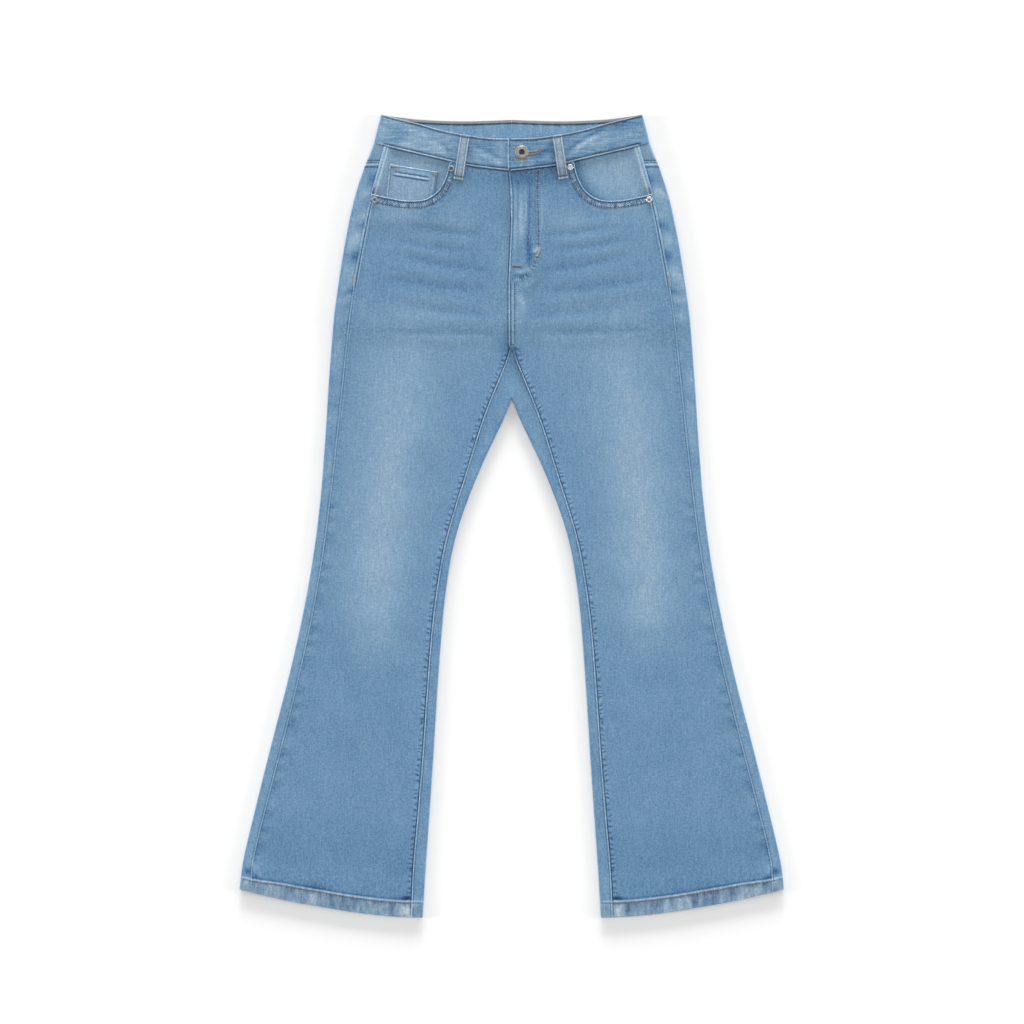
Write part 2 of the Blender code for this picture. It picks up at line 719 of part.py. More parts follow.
def add_loop(place, collection):
    # A strip along the waistband, its ends down on the cloth and its middle just clear of it
    side = LEFT if place.low_x > 0 else RIGHT
    direction = Vector((place.low_x - place.top_x, place.low_y - place.top_y)).normalized()
    across = Vector((-direction.y, direction.x)) * LOOP_WIDTH / 2
    rows = []
    for t in LOOP_ROWS:
        x = mix(place.top_x, place.low_x, t)
        y = mix(place.top_y, place.low_y, t)
        row = []
        for u in (-1.0, 0.0, 1.0):
            px, py = x + across.x * u, y + across.y * u
            if place.on_top:
                seam = waist_line("front_seam", px)
                panel = top_surface(px, py, side)
                z = mix(panel, band_surface(px, side), ease(py, seam - LOOP_STEP[0], seam - LOOP_STEP[1]))
                z += SEAM_GAP + LOOP_WALL + LOOP_BULGE * math.sin(math.pi * t)
            else:
                z = 0.0
            row.append((px, py, z, 1.0))
        rows.append(row)
    return add_cloth(place.name, [(rows, not place.on_top)], LOOP_WALL, collection, LOOP_DENIM)


def facing_outline(side):
    # Inset layer of a front pocket: seen in the opening, and a little way under the front
    points = [(x, waist_line("front_seam", x) - SEAM_GAP) for x in FACING_TOP]
    for place, (dx, dy) in FACING_STEPS:
        points.append((POCKET_EDGE[place].across + dx, POCKET_EDGE[place].height + dy))
    points += [(side_seam(y) + FACING_TUCK, y) for y in FACING_SIDE]
    return [(side * x, y) for x, y in points]


def add_buttonhole_cutter(collection):
    # A keyhole: a round eye for the shank and a slit that runs on from it
    bm = bmesh.new()
    depth = BUTTONHOLE_DEPTH * MM
    bmesh.ops.create_cone(bm, cap_ends=True, segments=16, radius1=BUTTONHOLE_RADIUS * MM,
                          radius2=BUTTONHOLE_RADIUS * MM, depth=depth)
    mesh = bpy.data.meshes.new("buttonhole_eye")
    bm.to_mesh(mesh)
    bm.free()
    eye = add_object("buttonhole_eye", mesh, collection, None)
    height = (band_surface(BUTTON_AT[0], LEFT) + band_underside(BUTTON_AT[0], LEFT)) / 2
    eye.location = to_metres(BUTTON_AT[0], BUTTON_AT[1], height)
    bm = bmesh.new()
    bmesh.ops.create_cube(bm, size=1.0)
    bmesh.ops.scale(bm, vec=(BUTTONHOLE_SLIT * MM, SLIT_WIDTH * MM, depth), verts=bm.verts)
    bmesh.ops.translate(bm, vec=(BUTTONHOLE_SLIT * MM / 2, 0.0, 0.0), verts=bm.verts)
    mesh = bpy.data.meshes.new("buttonhole_slit")
    bm.to_mesh(mesh)
    bm.free()
    slit = add_object("buttonhole_slit", mesh, collection, None)
    slit.location = eye.location
    slit.rotation_euler.z = BUTTONHOLE_ANGLE
    for cutter in (eye, slit):
        cutter.hide_render = True
        cutter.display_type = "WIRE"
    return eye, slit


def cut(thing, cutter):
    hole = thing.modifiers.new(cutter.name, "BOOLEAN")
    hole.operation = "DIFFERENCE"
    hole.solver = "EXACT"
    hole.object = cutter


def add_button(collection):
    # The head lies on the buttonhole end and its shank reaches the button end below
    x, y = BUTTON_AT
    head = band_surface(x, LEFT) + SEAM_GAP
    foot = band_surface(-x, RIGHT) + SEAM_GAP - head
    profile = BUTTON_PROFILE + [(SHANK_RADIUS, 0.0), (SHANK_RADIUS, foot), (0.0, foot)]
    return add_turned("button", profile, (x, y, head), collection, COPPER)


def add_rivet(name, x, y, collection):
    side = LEFT if x > 0 else RIGHT
    z = top_surface(x, y, side) + POCKET_RISE + SEAM_GAP
    return add_turned(name, RIVET_PROFILE, (x, y, z), collection, NICKEL)


def build():
    clear_scene()
    jeans = new_collection("jeans")
    cutters = new_collection("cutters")
    for side, word in ((RIGHT, "right"), (LEFT, "left")):
        add_back_panel("back_" + word, side, jeans)
        add_front_panel("front_" + word, side, jeans)
        add_yoke("yoke_" + word, side, jeans)
        add_plate("pocket_facing_" + word, facing_outline(side), TRUNK_LIFT + FACING_LEVEL,
                  FACING_WALL, jeans, DARKER_DENIM)
        add_plate("back_pocket_" + word, [(side * x, y) for x, y in BACK_POCKET], 0.0,
                  LOOP_WALL, jeans, FADED_DENIM)
    add_waistband("waistband_right", RIGHT, jeans)
    overlap = add_waistband("waistband_left", LEFT, jeans)
    for cutter in add_buttonhole_cutter(cutters):
        cut(overlap, cutter)
    for place in LOOPS:
        add_loop(place, jeans)
    add_plate("coin_pocket", COIN_POCKET, TRUNK_LIFT + SECOND_LEVEL, FACING_WALL, jeans, DARKER_DENIM)
    add_plate("fly_shield", FLY_SHIELD, TRUNK_LIFT + FACING_LEVEL, FACING_WALL, jeans, FADED_DENIM)
    add_plate("zip", ZIP, TRUNK_LIFT + SECOND_LEVEL, FACING_WALL, jeans, ZIP_TAPE)
    add_button(jeans)
    for number, (x, y) in enumerate(RIVET_PLACES, start=1):
        add_rivet("rivet_%d" % number, x, y, jeans)


build()
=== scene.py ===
import math

import bmesh
import bpy
import numpy as np
from mathutils import Matrix, Vector


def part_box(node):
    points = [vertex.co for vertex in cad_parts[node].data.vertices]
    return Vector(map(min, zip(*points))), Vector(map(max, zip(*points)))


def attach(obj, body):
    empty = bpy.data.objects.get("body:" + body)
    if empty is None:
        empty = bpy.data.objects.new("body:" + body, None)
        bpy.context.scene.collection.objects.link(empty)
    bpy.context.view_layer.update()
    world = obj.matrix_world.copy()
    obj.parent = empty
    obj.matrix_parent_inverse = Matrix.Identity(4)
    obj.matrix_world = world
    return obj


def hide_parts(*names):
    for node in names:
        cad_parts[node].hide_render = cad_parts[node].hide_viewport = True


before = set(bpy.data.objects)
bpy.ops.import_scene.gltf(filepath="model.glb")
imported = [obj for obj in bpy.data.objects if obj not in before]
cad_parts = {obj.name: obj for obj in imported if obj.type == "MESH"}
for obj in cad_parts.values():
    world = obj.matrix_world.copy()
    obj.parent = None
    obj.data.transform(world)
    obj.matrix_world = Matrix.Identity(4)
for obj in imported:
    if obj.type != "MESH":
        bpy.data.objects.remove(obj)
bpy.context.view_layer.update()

# Jeans laid flat, front up. Lengths are millimetres until they go into a mesh. Left and right are the
# wearer's, so left is +X. Side is 1 for left and -1 for right.
mm = 0.001
left, right = 1, -1

cloth = {"panel": 1.2, "hem": 2.4, "band": 2.2, "loop": 1.2, "inset": 1.0, "gap": 0.3, "seam": 0.04}
level = {"trunk": 1.5, "liftFrom": 215.0, "liftTo": 255.0, "puff": 32.0, "fly": 1.5, "coin": 1.3,
         "band": 2.5, "overlap": 2.5, "facing": 1.5, "second": 2.8}
height = {"crotch": 220.0, "apex": 153.0, "knee": -110.0, "hem": -488.6, "yokeSide": 463.0,
          "yokeCentre": 412.0, "yokeFade": 330.0, "block": 375.0, "bandMiddle": 507.0}

outer = {
    "height": [525.3, 488.6, 453.3, 414.0, 361.6, 309.2, 256.8, 178.2, 99.6, 21.0, -57.4, -135.9, -214.5,
               -293.0, -371.7, -450.6, -488.6],
    "fold": [171.0, 180.3, 194.0, 206.3, 217.5, 226.0, 233.0, 239.3, 244.4, 250.7, 260.7, 275.0, 293.0,
             313.3, 333.0, 351.5, 356.5],
    "seam": [155.0, 164.3, 173.8, 184.9, 195.8, 205.4, 213.0, 221.5, 229.7, 238.6, 249.2, 263.2, 280.4,
             299.8, 320.2, 339.2, 342.0],
}
inner = {
    "height": [153.0, 125.8, 99.6, 73.4, 47.2, 21.0, -5.2, -31.4, -57.6, -110.0, -162.0, -241.0, -320.0,
               -398.6, -463.7, -525.3],
    "fold": [0.2, 11.1, 23.6, 36.0, 47.2, 57.6, 66.8, 74.4, 80.1, 87.8, 92.6, 98.2, 103.1, 108.4,
             113.0, 116.6],
    "seam": [26.3, 36.7, 45.3, 53.3, 61.5, 69.9, 77.8, 85.0, 90.6, 98.9, 104.6, 110.6, 116.0, 122.6, 128.0,
             130.8],
}
crotchSeam = {"height": [220.0, 203.0, 178.0], "seam": [0.9, 5.9, 16.0]}
waist = {
    "across": [0.0, 30.0, 60.0, 90.0, 125.0, 150.0, 171.0, 180.3],
    "frontTop": [493.5, 494.3, 498.6, 504.2, 514.0, 520.0, 525.3, 527.0],
    "frontSeam": [451.5, 454.8, 459.0, 466.3, 474.4, 480.2, 485.6, 488.6],
    "backTop": [518.5, 517.2, 516.5, 517.0, 519.0, 522.0, 525.3, 526.5],
    "backSeam": [480.0, 478.5, 478.0, 478.5, 480.8, 484.0, 487.2, 488.6],
}
hem = {
    "across": [110.0, 135.0, 160.0, 207.0, 247.0, 289.0, 327.0, 360.0],
    "height": [-525.3, -525.0, -523.6, -518.2, -511.6, -504.2, -495.8, -487.4],
    "fold": 20.4, "foldLess": 4.0,
}
lofting = {
    "height": [525.3, 470.0, 415.0, 330.0, 200.0, 0.0, -300.0, -525.3],
    "middle": [4.7, 4.3, 4.2, 4.2, 3.8, 3.6, 3.6, 3.8],
    "fold": [5.6, 5.4, 5.0, 4.9, 4.8, 4.8, 4.8, 4.8],
    "hemMiddle": 4.9, "hemFold": 5.2, "hemFade": 45.0, "hemRise": 0.5,
}
rise = {"seam": 0.4, "seamReach": 8.0, "pocket": 0.5, "pocketReach": 9.6}
fly = {
    "height": [451.0, 423.0, 390.0, 356.0, 305.0, 220.0],
    "across": [-3.7, -0.6, -0.3, -1.6, -3.7, -3.7],
    "tuck": 1.5, "riseTuck": 5.0, "tuckFrom": 280.0, "tuckTo": 298.0, "width": 37.0, "riseWidth": 7.0,
    "slope": 24.0, "widthFrom": 286.0, "widthTo": 331.0,
}
pocket = {
    "across": [81.2, 86.3, 96.5, 114.0, 138.0, 162.0, 183.2],
    "height": [463.6, 443.5, 425.4, 414.0, 412.5, 416.4, 421.2],
    "corner": 0.42,         # share of the front's width at the corner
    "columns": [0.42, 0.46, 0.5, 0.55, 0.61, 0.68, 0.76, 0.85, 0.94, 1.0],
    "places": [0.0, 0.7, 1.4, 2.0, 2.6, 3.3, 4.0, 4.7, 5.4, 6.0],
}


def mix(a, b, t):
    return a + (b - a) * t


def ease(value, start, end):
    t = np.clip((np.asarray(value, float) - start) / (end - start), 0.0, 1.0)
    return t * t * (3.0 - 2.0 * t)


def bell(value, middle, width):
    return np.exp(-((np.asarray(value, float) - middle) / width) ** 2)


def spread(x, *values):
    # each value as an array of the shape of x
    return [value + np.zeros(np.shape(x)) for value in values]


def readCurve(places, values, at):
    # the smooth curve through the table's points, the same as the solids are cut to
    places, values = np.asarray(places, float), np.asarray(values, float)
    if places[0] > places[-1]:
        places, values = places[::-1], values[::-1]
    at = np.clip(np.asarray(at, float), places[0], places[-1])
    last = len(places) - 1
    i = np.clip(np.searchsorted(places, at, side="right") - 1, 0, last - 1)
    x0, x1, y0, y1 = places[i], places[i + 1], values[i], values[i + 1]
    before, after = np.maximum(i - 1, 0), np.minimum(i + 2, last)
    span = x1 - x0
    slope0 = (y1 - values[before]) / (x1 - places[before])
    slope1 = (values[after] - y0) / (places[after] - x0)
    t = (at - x0) / span
    stay = 2 * t ** 3 - 3 * t ** 2 + 1
    leave = t ** 3 - 2 * t ** 2 + t
    arrive = t ** 3 - t ** 2
    return stay * y0 + leave * span * slope0 + (1 - stay) * y1 + arrive * span * slope1


def outerFold(y):
    return readCurve(outer["height"], outer["fold"], y)


def sideSeam(y):
    return readCurve(outer["height"], outer["seam"], y)


def innerFold(y):
    return readCurve(inner["height"], inner["fold"], y)


def inseam(y):
    return readCurve(crotchSeam["height"] + inner["height"], crotchSeam["seam"] + inner["seam"], y)


def waistLine(name, x):
    return readCurve(waist["across"], waist[name], np.abs(x))


def hemLine(x):
    return readCurve(hem["across"], hem["height"], np.abs(x))


def hemFold(x):
    # height of the hem's ridge above its edge, less beside the side seam
    return hem["fold"] - hem["foldLess"] * ease(np.abs(x), 290.0, 350.0)


def flyEdge(y):
    return readCurve(fly["height"], fly["across"], y)


def yokeLine(x):
    share = np.abs(x) / outerFold(height["yokeSide"])
    return mix(height["yokeCentre"], height["yokeSide"], share ** 1.1)


def rowHeight(row, x, underside=False):
    # a row of the cloth follows the hem at the bottom, and the yoke seam at the back
    shin = mix(height["knee"], hemLine(x), (row - height["knee"]) / (height["hem"] - height["knee"]))
    y = np.where(row < height["knee"], shin, row + 0.0 * x)
    if underside:
        share = (row - height["yokeFade"]) / (height["yokeSide"] - height["yokeFade"])
        y = np.where(row > height["yokeFade"], row + (yokeLine(x) - height["yokeSide"]) * share, y)
    return y


def onEdge(edge, row):
    y = row + 0.0
    for _ in range(8):
        y = rowHeight(row, edge(y))
    return edge(y), y


def trunkLift(y):
    return level["trunk"] * ease(y, level["liftFrom"], level["liftTo"])


def loft(x, y):
    # the upper surface above the underside, fuller beside the folds
    x = np.abs(x)
    middle = readCurve(lofting["height"], lofting["middle"], y)
    fold = readCurve(lofting["height"], lofting["fold"], y)
    above = y - hemLine(x)
    low = y < height["knee"]
    depth = hemFold(x)
    nearHem = np.where(low, 1.0 - ease(above, depth, depth + lofting["hemFade"]), 0.0)
    turned = np.where(low, 1.0 - ease(above, depth + 0.2, depth + 2.2), 0.0) * lofting["hemRise"]
    middle = mix(middle, lofting["hemMiddle"], nearHem) + turned
    fold = mix(fold, lofting["hemFold"], nearHem) + turned
    fromOuter = np.maximum(0.0, outerFold(y) - x)
    fromInner = np.where(y < height["apex"], x - innerFold(y), np.hypot(x, y - height["apex"]))
    puff = np.maximum(0.0, 1.0 - fromOuter / level["puff"]) ** 2
    puff = np.maximum(puff, np.maximum(0.0, 1.0 - np.maximum(0.0, fromInner) / level["puff"]) ** 2)
    return mix(middle, fold, puff)


def topSurface(x, y, side):
    # x is across the garment, so it is negative on the right
    z = trunkLift(y) + loft(x, y)
    if side == left:
        width = mix(fly["riseWidth"], fly["width"], ease(y, fly["widthFrom"], fly["widthTo"]))
        return z + level["fly"] * (1.0 - ease((x - width) / fly["slope"], 0.0, 1.0))
    across = ease(-x, 58.0, 84.0) * (1.0 - ease(-x, 180.0, 196.0))
    return z + level["coin"] * across * ease(y, 362.0, 396.0)


def bandSurface(x, side):
    overlap = level["overlap"] * (1.0 - ease(x, 36.0, 80.0)) if side == left else 0.0
    return level["trunk"] + level["band"] + cloth["band"] + overlap


def along(path, step):
    # points at even steps along a path
    path = np.asarray(path, float)
    runs = np.concatenate([[0.0], np.cumsum(np.hypot(*np.diff(path, axis=0).T))])
    places = np.linspace(0.0, runs[-1], max(2, int(round(runs[-1] / step)) + 1))
    return np.stack([np.interp(places, runs, path[:, 0]), np.interp(places, runs, path[:, 1])], axis=1)


def smoothPath(points, step=3.0):
    points = np.asarray(points, float)
    places = np.linspace(0.0, len(points) - 1.0, 16 * len(points))
    order = np.arange(len(points))
    dense = np.stack([readCurve(order, points[:, 0], places), readCurve(order, points[:, 1], places)], axis=1)
    return along(dense, step)


def offsetPath(path, distance):
    # the same path moved sideways, to the left of its direction
    path = np.asarray(path, float)
    run = np.gradient(path, axis=0)
    run /= np.maximum(np.hypot(run[:, 0], run[:, 1]), 1e-9)[:, None]
    return path + np.stack([-run[:, 1], run[:, 0]], axis=1) * distance


def nearest(x, y, path):
    # distance of each place from a path, and how far along the path it is
    best, where, run = np.full(np.shape(x), 1e6), np.zeros(np.shape(x)), 0.0
    for (x0, y0), (x1, y1) in zip(path, path[1:]):
        dx, dy = x1 - x0, y1 - y0
        length = math.hypot(dx, dy)
        t = np.clip(((x - x0) * dx + (y - y0) * dy) / max(length, 1e-9) ** 2, 0.0, 1.0)
        distance = np.hypot(x - x0 - t * dx, y - y0 - t * dy)
        closer = distance < best
        best = np.where(closer, distance, best)
        where = np.where(closer, run + t * length, where)
        run += length
    return best, where, run


# Seams and rows of stitches as paths over the left half, from the top down or from the centre out
def columnPath(edge, top, bottom):
    heights = np.linspace(top, bottom, max(2, int(abs(top - bottom) / 6.0)))
    return np.stack([edge(heights), heights], axis=1)


def hemPath(start, end, fromFold=None):
    # along the edge of the hem, or so far from its ridge
    x = np.linspace(start, end, int(abs(end - start) / 6.0))
    lift = 0.0 if fromFold is None else hemFold(x) + fromFold
    return np.stack([x, hemLine(x) + lift], axis=1)


def bandPath(name, lift, start, end):
    x = np.linspace(start, end, max(2, int(abs(end - start) / 5.0)))
    return np.stack([x, waistLine(name, x) + lift], axis=1)


def yokePath(end):
    x = np.linspace(0.0, end, 40)
    return np.stack([x, yokeLine(x)], axis=1)


paths = {
    "side": columnPath(sideSeam, 487.0, -497.0),
    "sideHip": columnPath(sideSeam, 487.0, 302.0),
    "sideLeg": columnPath(sideSeam, 302.0, -497.0),
    "inseam": columnPath(inseam, 220.0, -525.0),
    "flyEdge": columnPath(flyEdge, 451.0, 220.0),
    "riseRow": columnPath(lambda y: flyEdge(y) + 7.6, 304.0, 226.0),
    "hemEdge": hemPath(112.0, 358.0),
    "hemRow": hemPath(112.0, 358.0, fromFold=-2.1),
    "frontSeam": bandPath("frontSeam", 0.0, 0.0, 166.0),
    "frontTop": bandPath("frontTop", 0.0, 0.0, 171.0),
    "backTop": bandPath("backTop", 0.0, 0.0, 171.0),
    "backSeam": bandPath("backSeam", 0.0, 0.0, 178.0),
    "pocket": smoothPath(list(zip(pocket["across"], pocket["height"]))),
    "flyStitch": smoothPath([(34.6, 452.0), (33.6, 420.5), (34.6, 391.7), (35.2, 364.2), (32.8, 338.0),
                             (25.2, 320.6), (14.0, 311.0), (3.0, 309.0)]),
    "centreBack": np.array([[0.0, 478.0], [0.0, 154.0]]),
    "yokeSide": np.array([[160.0, height["yokeSide"]], [200.0, height["yokeSide"]]]),
}


def mirrorPath(path, side):
    return np.asarray(path, float) * np.array([side, 1.0])


# Folds that wear has left in the cloth: path, width, height and how much paler it is
whiskers = [
    # paths on the left front, from the centre out; the right front has the same, a little changed
    ([(46, 378), (88, 381), (134, 389)], 6, 0.30, 0.26),
    ([(34, 367), (81, 371), (130, 379)], 3.0, -0.35, -0.92),
    ([(46, 358), (96, 362), (150, 372)], 5, 0.30, 0.30),
    ([(56, 347), (103, 352), (152, 363)], 2.8, -0.35, -0.85),
    ([(46, 336), (92, 341), (160, 352)], 6, 0.28, 0.24),
    ([(38, 321), (94, 328), (148, 341)], 3.0, -0.40, -1.0),
    ([(136, 321), (160, 327), (184, 335)], 2.8, -0.20, -0.55),
    ([(44, 309), (96, 314), (176, 330)], 7, 0.30, 0.22),
    ([(30, 295), (84, 297), (186, 312)], 3.4, -0.35, -0.85),
    ([(40, 291), (100, 296), (186, 308)], 12, 0.0, -0.22),
    ([(36, 279), (96, 284), (180, 298)], 6, 0.30, 0.24),
    ([(20, 261), (81, 266), (136, 274)], 4.2, -0.30, -0.62),
    ([(28, 252), (90, 254), (150, 260)], 6, 0.25, 0.26),
    ([(30, 241), (120, 241), (178, 245)], 3.0, -0.40, -0.90),
    ([(24, 246), (90, 246), (150, 248)], 11, 0.0, -0.18),
    ([(34, 230), (80, 228), (130, 230)], 7, 0.30, 0.34),
]
kneeFolds = [
    ([(100, -60), (150, -74), (215, -70)], 16, 0.35, 0.10),
    ([(110, -128), (170, -140), (240, -126)], 18, 0.35, 0.06),
    ([(130, -236), (200, -262), (262, -246)], 26, 0.30, 0.05),
    ([(300, -410), (250, -452), (180, -468)], 22, 0.28, 0.06),
    ([(342, -434), (340, -453), (335, -465), (326, -474)], 2.2, 0.25, 2.4),
    ([(60, 130), (120, 100), (180, 92)], 24, 0.30, 0.05),
    ([(70, 40), (130, 14), (190, 20)], 22, 0.25, 0.04),
]
flyFolds = [
    ([(10.0, 420), (10.0, 395), (9.6, 356)], 4.6, 0.30, 0.9),
    ([(13.6, 418), (13.0, 395), (12.4, 358)], 2.4, 0.15, 0.9),
    ([(18.0, 424), (18.6, 396), (17.4, 372)], 1.5, 0.12, 1.3),
    ([(8.4, 438), (7.8, 396), (7.4, 346)], 1.5, -0.12, -0.9),
    ([(4.4, 432), (4.4, 396), (4.2, 350)], 1.8, 0.10, 1.1),
    ([(23.5, 440), (22.8, 395), (20.0, 342)], 2.6, -0.20, -1.1),
    ([(22.0, 362), (24.0, 342), (21.0, 326)], 4.0, -0.15, -1.4),
    ([(26.0, 346), (31.0, 347), (35.0, 352)], 2.4, 0.25, 2.2),
    ([(30.6, 440), (30.0, 395), (31.6, 356)], 2.8, -0.10, -0.3),
    ([(4.0, 322), (14.0, 319), (26.0, 326)], 2.2, 0.20, 1.6),
    ([(2.0, 316), (12.0, 314), (24.0, 316)], 2.0, -0.15, -1.3),
    ([(14.0, 304), (26.0, 308), (36.0, 322)], 1.8, -0.10, -0.9),
    ([(10.0, 301), (22.0, 303), (34.0, 316)], 3.6, 0.30, 1.1),
    ([(8.0, 292), (14.0, 280), (16.0, 262)], 4.0, 0.15, 0.9),
    ([(20.0, 296), (34.0, 292), (50.0, 294)], 3.0, 0.15, 0.4),
    ([(38.5, 430), (39.0, 395), (38.6, 352)], 2.6, 0.15, 0.45),
]
seatFolds = [
    # under the seat and behind the knees, and only inwards
    ([(30, 214), (90, 224), (160, 250)], 9, 0.5, -0.5),
    ([(26, 200), (90, 206), (170, 226)], 8, 0.0, 0.35),
    ([(40, 176), (110, 182), (190, 204)], 10, 0.5, -0.45),
    ([(60, 240), (120, 252), (190, 282)], 9, 0.4, -0.4),
    ([(80, -34), (140, -52), (220, -40)], 10, 0.5, -0.5),
    ([(90, -62), (160, -80), (240, -66)], 9, 0.5, -0.45),
    ([(96, -96), (170, -112), (252, -96)], 10, 0.45, -0.4),
    ([(92, -48), (150, -64), (214, -52)], 8, 0.0, 0.3),
    ([(110, -250), (190, -280), (270, -260)], 22, 0.4, -0.1),
]
bandFolds = {
    left: [
        ([(72, 476), (86, 489), (108, 501), (122, 506)], 2.2, -0.30, -1.3),
        ([(76, 472), (94, 487), (118, 499)], 3.2, 0.25, 1.2),
        ([(96, 486), (120, 491), (158, 499)], 3.0, 0.15, 0.5),
        ([(78, 486), (96, 495), (120, 506)], 3.0, 0.15, 0.4),
        ([(112, 506), (140, 512), (166, 514)], 3.5, -0.15, -0.5),
        ([(30, 466), (44, 476), (54, 488)], 4.0, -0.20, -0.6),
        ([(6, 462), (22, 459), (36, 464)], 4.0, 0.20, 0.5),
    ],
    right: [
        ([(-50, 488), (-32, 478), (-12, 466)], 3.0, -0.25, -0.8),
        ([(-48, 480), (-32, 471), (-16, 460)], 4.0, 0.20, 0.5),
        ([(-54, 466), (-34, 464), (-8, 468)], 9.0, 0.10, 0.35),
        ([(-78, 468), (-88, 484), (-100, 492)], 3.2, -0.20, -0.7),
        ([(-84, 476), (-112, 492), (-150, 510)], 4.5, 0.22, 0.55),
        ([(-100, 486), (-130, 500), (-160, 506)], 3.2, -0.15, -0.5),
        ([(-130, 490), (-150, 494), (-170, 496)], 4.0, -0.10, -0.6),
    ],
}

# Patches of the wash: place and reach on the left half, how much paler it is, and its share on the
# right and on the left
washPatches = [
    ((14, 442), (30, 11), -1.1, (0.45, 1.0)),
    ((52, 444), (20, 10), -0.55, (0.5, 1.0)),
    ((92, 428), (12, 16), -0.4, (1.0, 1.0)),
    ((150, 392), (44, 11), 0.6, (1.0, 0.8)),
    ((76, 386), (26, 20), 0.42, (1.0, 1.0)),
    ((110, 396), (16, 9), -0.55, (1.0, 0.8)),
    ((42, 232), (26, 24), 0.30, (1.0, 1.0)),
    ((262, -486), (24, 6), -0.6, (1.0, 0.5)),
    ((2, 212), (11, 18), -0.9, (1.0, 1.0)),
    ((8, 330), (10, 34), 0.35, (1.0, 0.0)),
    ((6, 262), (9, 30), 0.5, (0.7, 1.0)),
    ((60, 340), (50, 60), -0.15, (1.0, 1.0)),
    ((138, -517), (5, 6), 2.2, (1.0, 0.9)),
    ((139, -500), (6, 2.4), -2.6, (1.0, 0.8)),
    ((137, -505), (6, 2.4), 0.9, (1.0, 0.8)),
    ((151, -514), (5, 6), -1.3, (1.0, 1.0)),
]
marginPatches = [
    # height, reach and tone of the blotches where the back shows beside the side seam
    (443, 9, -1.5), (424, 8, 0.8), (404, 8, -0.3), (381, 6, -1.6), (362, 8, 0.6), (341, 8, -2.0),
    (318, 9, 0.4), (295, 4, -1.5), (286, 4, 0.5), (276, 4, -0.4), (262, 5, 0.3), (251, 6, -0.3),
    (228, 8, 0.3), (196, 10, -0.2),
]
kneeFade = {
    # the faded stripe down each leg
    "height": [300.0, 244.0, 178.0, 100.0, 21.0, -57.0, -110.0, -150.0, -180.0, -210.0],
    "centre": [122.0, 130.0, 147.0, 157.0, 166.0, 174.0, 177.0, 178.0, 179.0, 180.0],
    "reach": [60.0, 56.0, 50.0, 46.0, 43.0, 41.0, 39.0, 38.0, 36.0, 36.0],
    "tone": [0.0, 0.55, 0.84, 0.98, 1.04, 1.03, 0.96, 0.70, 0.34, 0.0],
}


def foldField(x, y, folds, changed=False):
    # what a list of folds adds to the height and to the wash
    lift, tone = spread(x, 0.0, 0.0)
    for number, (points, width, raised, paler) in enumerate(folds):
        path = smoothPath(points, 6.0)
        if changed:     # the other side has the same folds, not quite in the same places
            path = path + np.array([3.0 * math.sin(2.3 * number), 2.2 * math.sin(1.7 * number + 0.6)])
        distance, where, length = nearest(x, y, path)
        ends = ease(where, 0.0, 0.3 * length) * (1.0 - ease(where, 0.7 * length, length))
        strength = (0.35 + 0.65 * ends) * bell(distance, 0.0, width)
        lift += raised * strength
        tone += paler * strength
    return lift, tone


def spot(x, y, place, reach):
    # a soft round patch
    return np.exp(-((x - place[0]) / reach[0]) ** 2 - ((y - place[1]) / reach[1]) ** 2)


def washField(x, y, side):
    across = np.abs(x)
    centre, reach, paler = [readCurve(kneeFade["height"], kneeFade[name], y)
                            for name in ("centre", "reach", "tone")]
    tone = paler * bell(across, centre, reach) - 0.08 * ease(-y, 90.0, 190.0)
    for place, wide, paler, shares in washPatches:
        tone += paler * shares[1 if side == left else 0] * spot(across, y, place, wide)
    return tone


# Every point of the cloth carries these facts for its material: how far it is from an edge and along
# it, how the edge looks, the same for a row of stitches, the wash with its painted shade, and how roped,
# ribbed and streaked the cloth is
factNames = ["edge", "edgeStyle", "row", "wash", "crimp"]
noEdge = 60.0       # distance of what lies beside no edge


def emptyFacts(x):
    facts = {name: spread(x, 0.0, 0.0, 0.0) for name in factNames}
    facts["edge"] = spread(x, noEdge, 0.0, 0.0)
    facts["row"] = spread(x, noEdge, 0.0, 0.0)
    return facts


def noteSeams(facts, x, y, edges=(), rows=()):
    # the nearest edge seam and the nearest row of stitches of each point; an edge's style is how
    # strong its pale ridge, its groove darkened with painted shade and its puckers are, and how narrow they
    # are
    for path, style in edges:
        distance, where, _ = nearest(x, y, path)
        distance = distance * style[3]
        closer = distance < facts["edge"][0]
        facts["edge"] = [np.where(closer, distance, facts["edge"][0]),
                         np.where(closer, where, facts["edge"][1]), facts["edge"][2]]
        facts["edgeStyle"] = [np.where(closer, s, old) for s, old in zip(style, facts["edgeStyle"])]
    for path, strength in rows:
        distance, where, _ = nearest(x, y, path)
        closer = distance < facts["row"][0]
        facts["row"] = [np.where(closer, distance, facts["row"][0]),
                        np.where(closer, where, facts["row"][1]),
                        np.where(closer, strength, facts["row"][2])]


def seamRelief(facts):
    # the ridge, groove and rounded lip that the seams give the cloth
    distance, run = facts["edge"][0], facts["edge"][1]
    ridge, groove, pucker = facts["edgeStyle"]
    lift = 0.20 * ridge * bell(distance, 0.5, 0.9) - 0.16 * groove * bell(distance, 2.1, 0.7)
    lift -= 0.25 * np.clip(1.0 - distance / 0.5, 0.0, 1.0) ** 2
    wave = np.sin(run * 2 * math.pi / 10.4 + 1.3 * np.sin(run / 23.0))
    lift += 0.12 * pucker * wave * bell(distance, 4.0, 2.6)
    lift -= 0.14 * facts["row"][2] * bell(facts["row"][0], 0.0, 0.9)
    return lift


